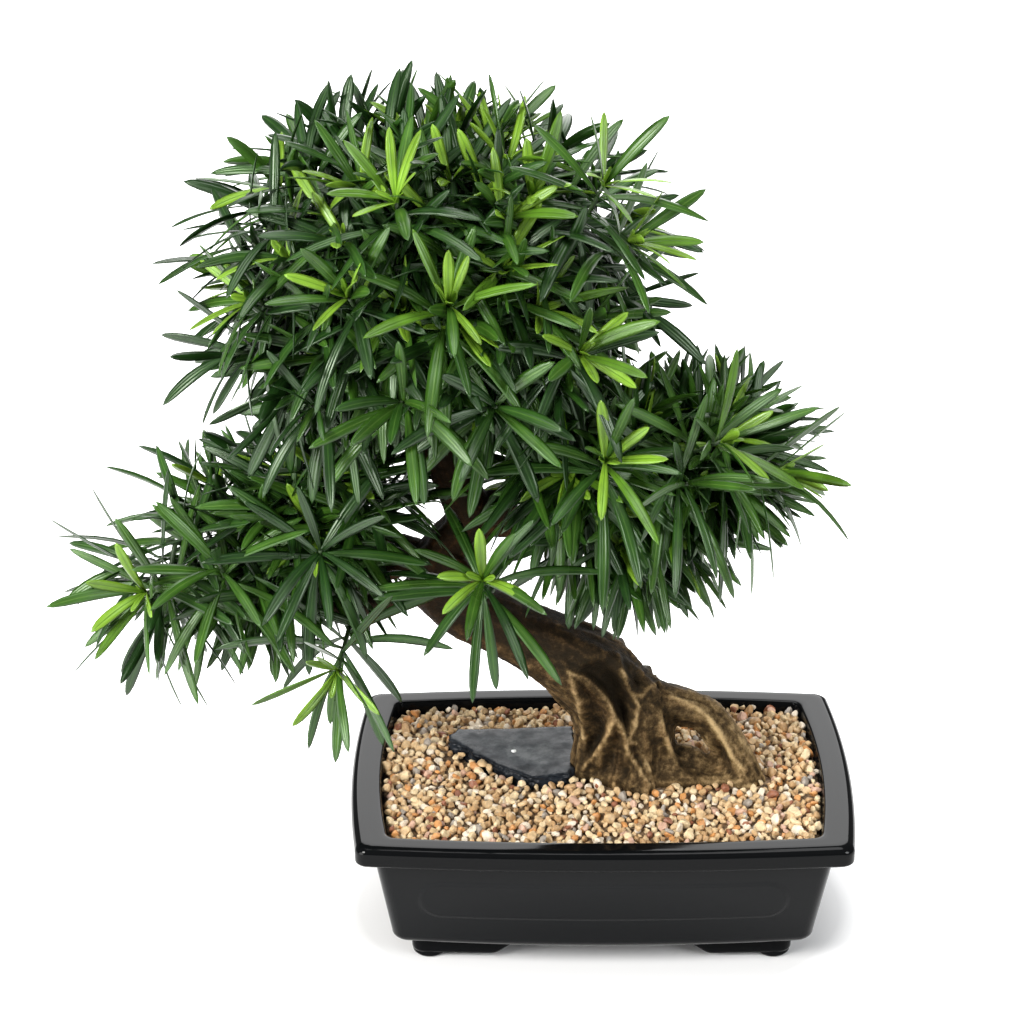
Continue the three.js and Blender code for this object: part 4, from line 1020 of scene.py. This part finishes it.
def new_sprig(base, axis, turn, young, over):
    axis = unit(axis)
    return {"tail": base - axis * SPRIG_TAIL, "head": base + axis * SPRIG_HEAD, "axis": axis, "turn": turn,
            "young": young, "over": over}


def direction(slope, turn):
    level = math.sqrt(1 - slope * slope)
    return np.array([level * math.cos(turn), level * math.sin(turn), slope])


def outline_share(clump, place):
    """1 on a clump's outline, less inside it."""
    offset = np.abs(place - np.array(clump["centre"])) / np.array(clump["half"])
    return np.sum(offset ** clump["square"]) ** (1 / clump["square"])


def reach_of(clump, out):
    """How far a clump's outline is from its middle in one direction."""
    return 1 / outline_share(clump, np.array(clump["centre"]) + out)


def outer_sprigs(number, clump):
    """A clump's sprigs: the key ones first, the rest turned round its outline by the golden angle."""
    random = random_from(clump["seed"])
    centre = np.array(clump["centre"], float)
    sprigs = []
    heads = [np.array(head, float) for _, head, _, _ in KEY_SPRIGS]
    for (owner, _, axis, young), head in zip(KEY_SPRIGS, heads):
        if owner == number:
            sprigs.append(new_sprig(head, np.array(axis), random.uniform(0, 6), young, KEY_OVER))
    for i in range(clump["sprigs"]):
        slope = lerp(clump["high"], clump["low"], (i + 0.5) / clump["sprigs"])
        out = direction(slope, i * GOLDEN + clump["seed"] + 0.3 * (random.random() - 0.5))
        base = centre + out * (reach_of(clump, out) - SPRIG_REACH - SPRIG_SPREAD * random.random())
        chance, start = random.random(), random.uniform(0, FULL_TURN)
        if any(np.linalg.norm(base - head) < clump["apart"] for head in heads):
            continue
        young = 4 if chance < FOUR_YOUNG else 2 if chance < TWO_YOUNG else 0
        sprigs.append(new_sprig(base, out + SPRIG_LIFT * UP, start, young, CLUMP_OVER))
    return sprigs


def inner_sprigs(clump, outer_count):
    """Fewer sprigs deep inside a clump, which close the view through it."""
    random = random_from(clump["seed"] + 100)
    centre = np.array(clump["centre"], float)
    sprigs = []
    count = outer_count // OUTER_PER_INNER
    for i in range(count):
        out = direction(lerp(0.8, -0.5, (i + 0.5) / count), i * GOLDEN + random.uniform(0, 1))
        base = centre + out * (INNER_REACH * (reach_of(clump, out) - SPRIG_REACH))
        sprigs.append(new_sprig(base, out + SPRIG_LIFT * UP, random.uniform(0, FULL_TURN), 0, CLUMP_OVER))
    return sprigs


def leaf_points(root, out, across, length, width, bend, twist, shape):
    """Rows of a bent, grooved, pointed leaf."""
    t = LEAF_ROWS
    normal = unit(np.cross(out, across))
    middles = root + length * (t[:, None] * out + 0.5 * (t**2)[:, None] * bend)
    tangents = out + t[:, None] * bend
    tangents /= lengths(tangents)[:, None]
    angle = twist * t
    side = across * np.cos(angle)[:, None] + normal * np.sin(angle)[:, None]
    side -= tangents * np.sum(side * tangents, axis=1)[:, None]
    side /= lengths(side)[:, None]
    face = np.cross(tangents, side)
    offsets = (width / 2 * shape)[:, None] * ACROSS
    heights = width * shape[:, None] * RISE - UNDER * LEAF_THICK * (0.35 + 0.65 * shape[:, None])
    points = middles[:, None] + offsets[..., None] * side[:, None] + heights[..., None] * face[:, None]
    return points.reshape(-1, 3)


def leaf_faces():
    """A leaf's faces, and which of them are its rib."""
    n, rows = len(ACROSS), len(LEAF_ROWS)
    faces = rows_joined(rows, n)
    ribs = [k % n == RIB_FACE and k // n < rows - 2 for k in range(len(faces))]
    faces.append(tuple(range(n))[::-1])
    faces.append(tuple((rows - 1) * n + i for i in range(n)))
    return faces, np.array(ribs + [False, False])


def sprig_leaves(sprig, clump, random, segments, low, high):
    """One sprig's leaves, points and colour: the lowest spread and hang, the last stand along its axis."""
    axis = sprig["axis"]
    side = unit(np.cross(axis, (1, 0, 0) if abs(axis[2]) > 0.9 else UP))
    other = np.cross(axis, side)
    loose = KEY_LOOSE if sprig["over"] == KEY_OVER else 1.0
    made = []
    buds = BUDS_PER_SPRIG if sprig["young"] else 0
    total = LEAVES_PER_SPRIG + sprig["young"] + buds
    # The tint is drawn lighter outside the crown, as painted light
    tint = random.choice(clump["tints_with_painted_light"])
    for k in range(total):
        young = k >= LEAVES_PER_SPRIG
        bud = k >= total - buds
        share = k / (LEAVES_PER_SPRIG - 1) if not young else 1.0
        start = lerp(sprig["tail"], sprig["head"], 0.06 + 0.94 * share)
        roll = sprig["turn"] + k * GOLDEN + random.uniform(-ROLL_SHIFT, ROLL_SHIFT)
        pitch = math.radians(lerp(PITCH_LOW, PITCH_HIGH, share) + random.uniform(-PITCH_SHIFT, PITCH_SHIFT))
        if young:
            pitch = math.radians(random.uniform(*(BUD_PITCH if bud else YOUNG_PITCH)))
        around = side * math.cos(roll) + other * math.sin(roll)
        out = unit(axis * math.cos(pitch) + around * math.sin(pitch) - DROOP * math.sin(pitch) * UP)
        if young:
            length, width = BUD if bud else YOUNG_LEAF
        else:
            length, width = clump["leaf"]
            length, width = length * lerp(1, LAST_LENGTH, share), width * lerp(1, LAST_WIDTH, share)
        length *= random.uniform(*LENGTH_RANGE)
        width *= random.uniform(*WIDTH_RANGE)
        hang = random.uniform(*(YOUNG_HANG if young else HANG))
        if not young:
            hang *= lerp(HANG_FIRST, HANG_LAST, share)
        pull = random.uniform(*SPREAD) * around - hang * UP
        across = unit(np.cross(axis, out))
        bend = pull - out * (pull @ out) + loose * random.uniform(-LEAF_CURL, LEAF_CURL) * across
        across = unit(across + np.cross(out, across) * loose * random.uniform(-LEAF_TILT, LEAF_TILT))
        for _ in range(4):
            tip = start + length * (out + 0.5 * bend)
            if (tip > low).all() and (tip < high).all() and outline_share(clump, tip) < sprig["over"]:
                break
            length *= SHORTER
        else:
            continue
        if not misses_limbs(start + np.linspace(0.15, 1, 6)[:, None] * (tip - start), segments):
            continue
        twist = loose * random.uniform(-LEAF_TWIST, LEAF_TWIST)
        shape = YOUNG_SHAPE if young else LEAF_SHAPE
        points = leaf_points(start - out * 0.8, out, across, length, width, bend, twist, shape)
        if young:
            colour = YOUNG
        elif sprig["young"] > 2 and share > LIGHT_FROM:
            colour = LIGHT if random.random() < LIGHT_SHARE else MID
        else:
            colour = int(np.clip(tint + random.choice([-1, 0, 0, 1]), 0, MID))
        made.append((points, colour))
    return made


def make_foliage():
    segments = limb_segments()
    low = (np.array(cad_box[0]) - HOME) / MM - REACH_OVER
    high = (np.array(cad_box[1]) - HOME) / MM + REACH_OVER
    materials = leaf_materials()
    stem_material = new_material("stem", (0.022, 0.046, 0.012), 0.5)
    faces_of_leaf, ribs = leaf_faces()
    hub_names = list(HUBS)
    hubs = np.array(list(HUBS.values()), float)
    leaves, stems = {}, {}
    for number, clump in enumerate(CLUMPS):
        outer = outer_sprigs(number, clump)
        random = random_from(clump["seed"] + 50)
        for sprig in outer + inner_sprigs(clump, len(outer)):
            name = hub_names[int(np.argmin(lengths(hubs - sprig["tail"])))]
            leaves.setdefault(name, []).extend(sprig_leaves(sprig, clump, random, segments, low, high))
            stems.setdefault(name.split("_")[0], []).append(twig_of(sprig, name))
    for name in hub_names:
        stems[name.split("_")[0]].append(stem_of(name))
    for name, made in leaves.items():
        points = np.vstack([p for p, _ in made])
        each = len(made[0][0])
        faces = [tuple(i + k * each for i in face) for k in range(len(made)) for face in faces_of_leaf]
        picks = np.concatenate([colour + LEAF_KINDS * ribs for _, colour in made])
        piece = add_mesh("leaves_" + name, points, faces, materials, picks)
        add_attribute(piece, "across", np.tile(ACROSS, len(points) // len(ACROSS)))
        dress(piece, "leaves", "foliage_" + name)
    for group, made in stems.items():
        points, faces = joined(made)
        dress(add_mesh("twigs_" + group, points, faces, [stem_material]), "bark")


def twig_of(sprig, name):
    """Twig from the mass's stem to a sprig."""
    hub = np.array(HUBS[name], float)
    last = np.array(BOUGHS[name][-1][:3], float)
    forks = [lerp(hub, last, s) for s in (0, 0.2, 0.4, 0.6, 0.8)]
    fork = min(forks, key=lambda p: np.linalg.norm(p - sprig["tail"]))
    lead = sprig["tail"] - sprig["axis"] * min(12.0, 0.4 * np.linalg.norm(sprig["tail"] - fork))
    places = (fork, lead, sprig["tail"], sprig["head"])
    return limb([(*place, r) for place, r in zip(places, TWIG_RADII)], TWIG_SIDES, TWIG_STEP)


def stem_of(name):
    """Stem of a mass, from its bough's end to its hub."""
    before, last = (np.array(s[:3], float) for s in BOUGHS[name][-2:])
    places = (last, last + unit(last - before) * STEM_COLLAR, HUBS[name])
    return limb([(*place, r) for place, r in zip(places, STEM_RADII)], STEM_SIDES, STEM_STEP)


# Stage

def make_floor():
    """White paper with a glow of its own all round the pot, but not under it."""
    corners = [(FLOOR_SIZE * x, FLOOR_SIZE * y, 0) for x, y in ((-1, -1), (1, -1), (1, 1), (-1, 1))]
    mesh = bpy.data.meshes.new("floor")
    mesh.from_pydata(corners, [], [(0, 1, 2, 3)])
    paper = new_material("floor", (0.88, 0.88, 0.88), 0.9, Emission_Color=WHITE)
    shift = {
        "Vector": result(paper, "ShaderNodeTexCoord", "Object"),
        "Location": tuple(-c / r for c, r in zip(HOME, FLOOR_DARK)),
        "Scale": tuple(1 / r for r in FLOOR_DARK),
    }
    place = result(paper, "ShaderNodeMapping", "Vector", shift, vector_type="POINT")
    away = result(paper, "ShaderNodeVectorMath", "Value", {0: place}, operation="LENGTH")
    fade = {"Value": away, "From Min": 1.0, "From Max": FLOOR_FADE, "To Min": 0.0, "To Max": FLOOR_LIGHT}
    drive(paper, {"Emission Strength": result(paper, "ShaderNodeMapRange", "Result", fade)})
    mesh.materials.append(paper)
    floor = placed("floor", mesh)
    floor.visible_diffuse = False


def add_light(name, place, size, power, colour):
    data = bpy.data.lights.new(name, "AREA")
    data.shape = "DISK"
    data.size = size * MM
    data.energy = power
    data.color = colour
    light = placed(name, data)
    start = np.array(place, float)
    light.location = start * MM + HOME
    light.rotation_euler = Vector(LIT_PLACE - start).to_track_quat("-Z", "Y").to_euler()
    light.visible_camera = False


def make_stage():
    make_floor()
    scene = bpy.context.scene
    world = bpy.data.worlds.new("studio")
    world.use_nodes = True
    feed(world.node_tree.nodes["Background"], {"Color": WHITE, "Strength": WORLD_LIGHT})
    scene.world = world
    for light in LIGHTS:
        add_light(*light)
    lens = bpy.data.cameras.new("camera")
    lens.sensor_width = SENSOR
    lens.lens = SENSOR * EYE_FOCUS / PICTURE
    lens.clip_end = 50
    scene.camera = placed("camera", lens)
    scene.camera.location = EYE * MM + HOME
    scene.camera.rotation_euler = (math.radians(90 - EYE_DOWN), 0, 0)
    scene.view_settings.view_transform = "Standard"


def make_filling():
    material = new_material("filling", (0.4, 0.38, 0.34), 0.9)
    bump(material, noise_at(material, 120, 4.0), 0.3, 1.0)
    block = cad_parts["filling"]
    block.data.materials.clear()
    block.data.materials.append(material)


make_filling()
make_pot()
trunk_piece = make_trunk()
slab_piece = make_slab()
make_shaded_bed()
make_pebbles(trunk_piece, slab_piece)
make_foliage()
make_stage()

bpy.context.view_layer.update()
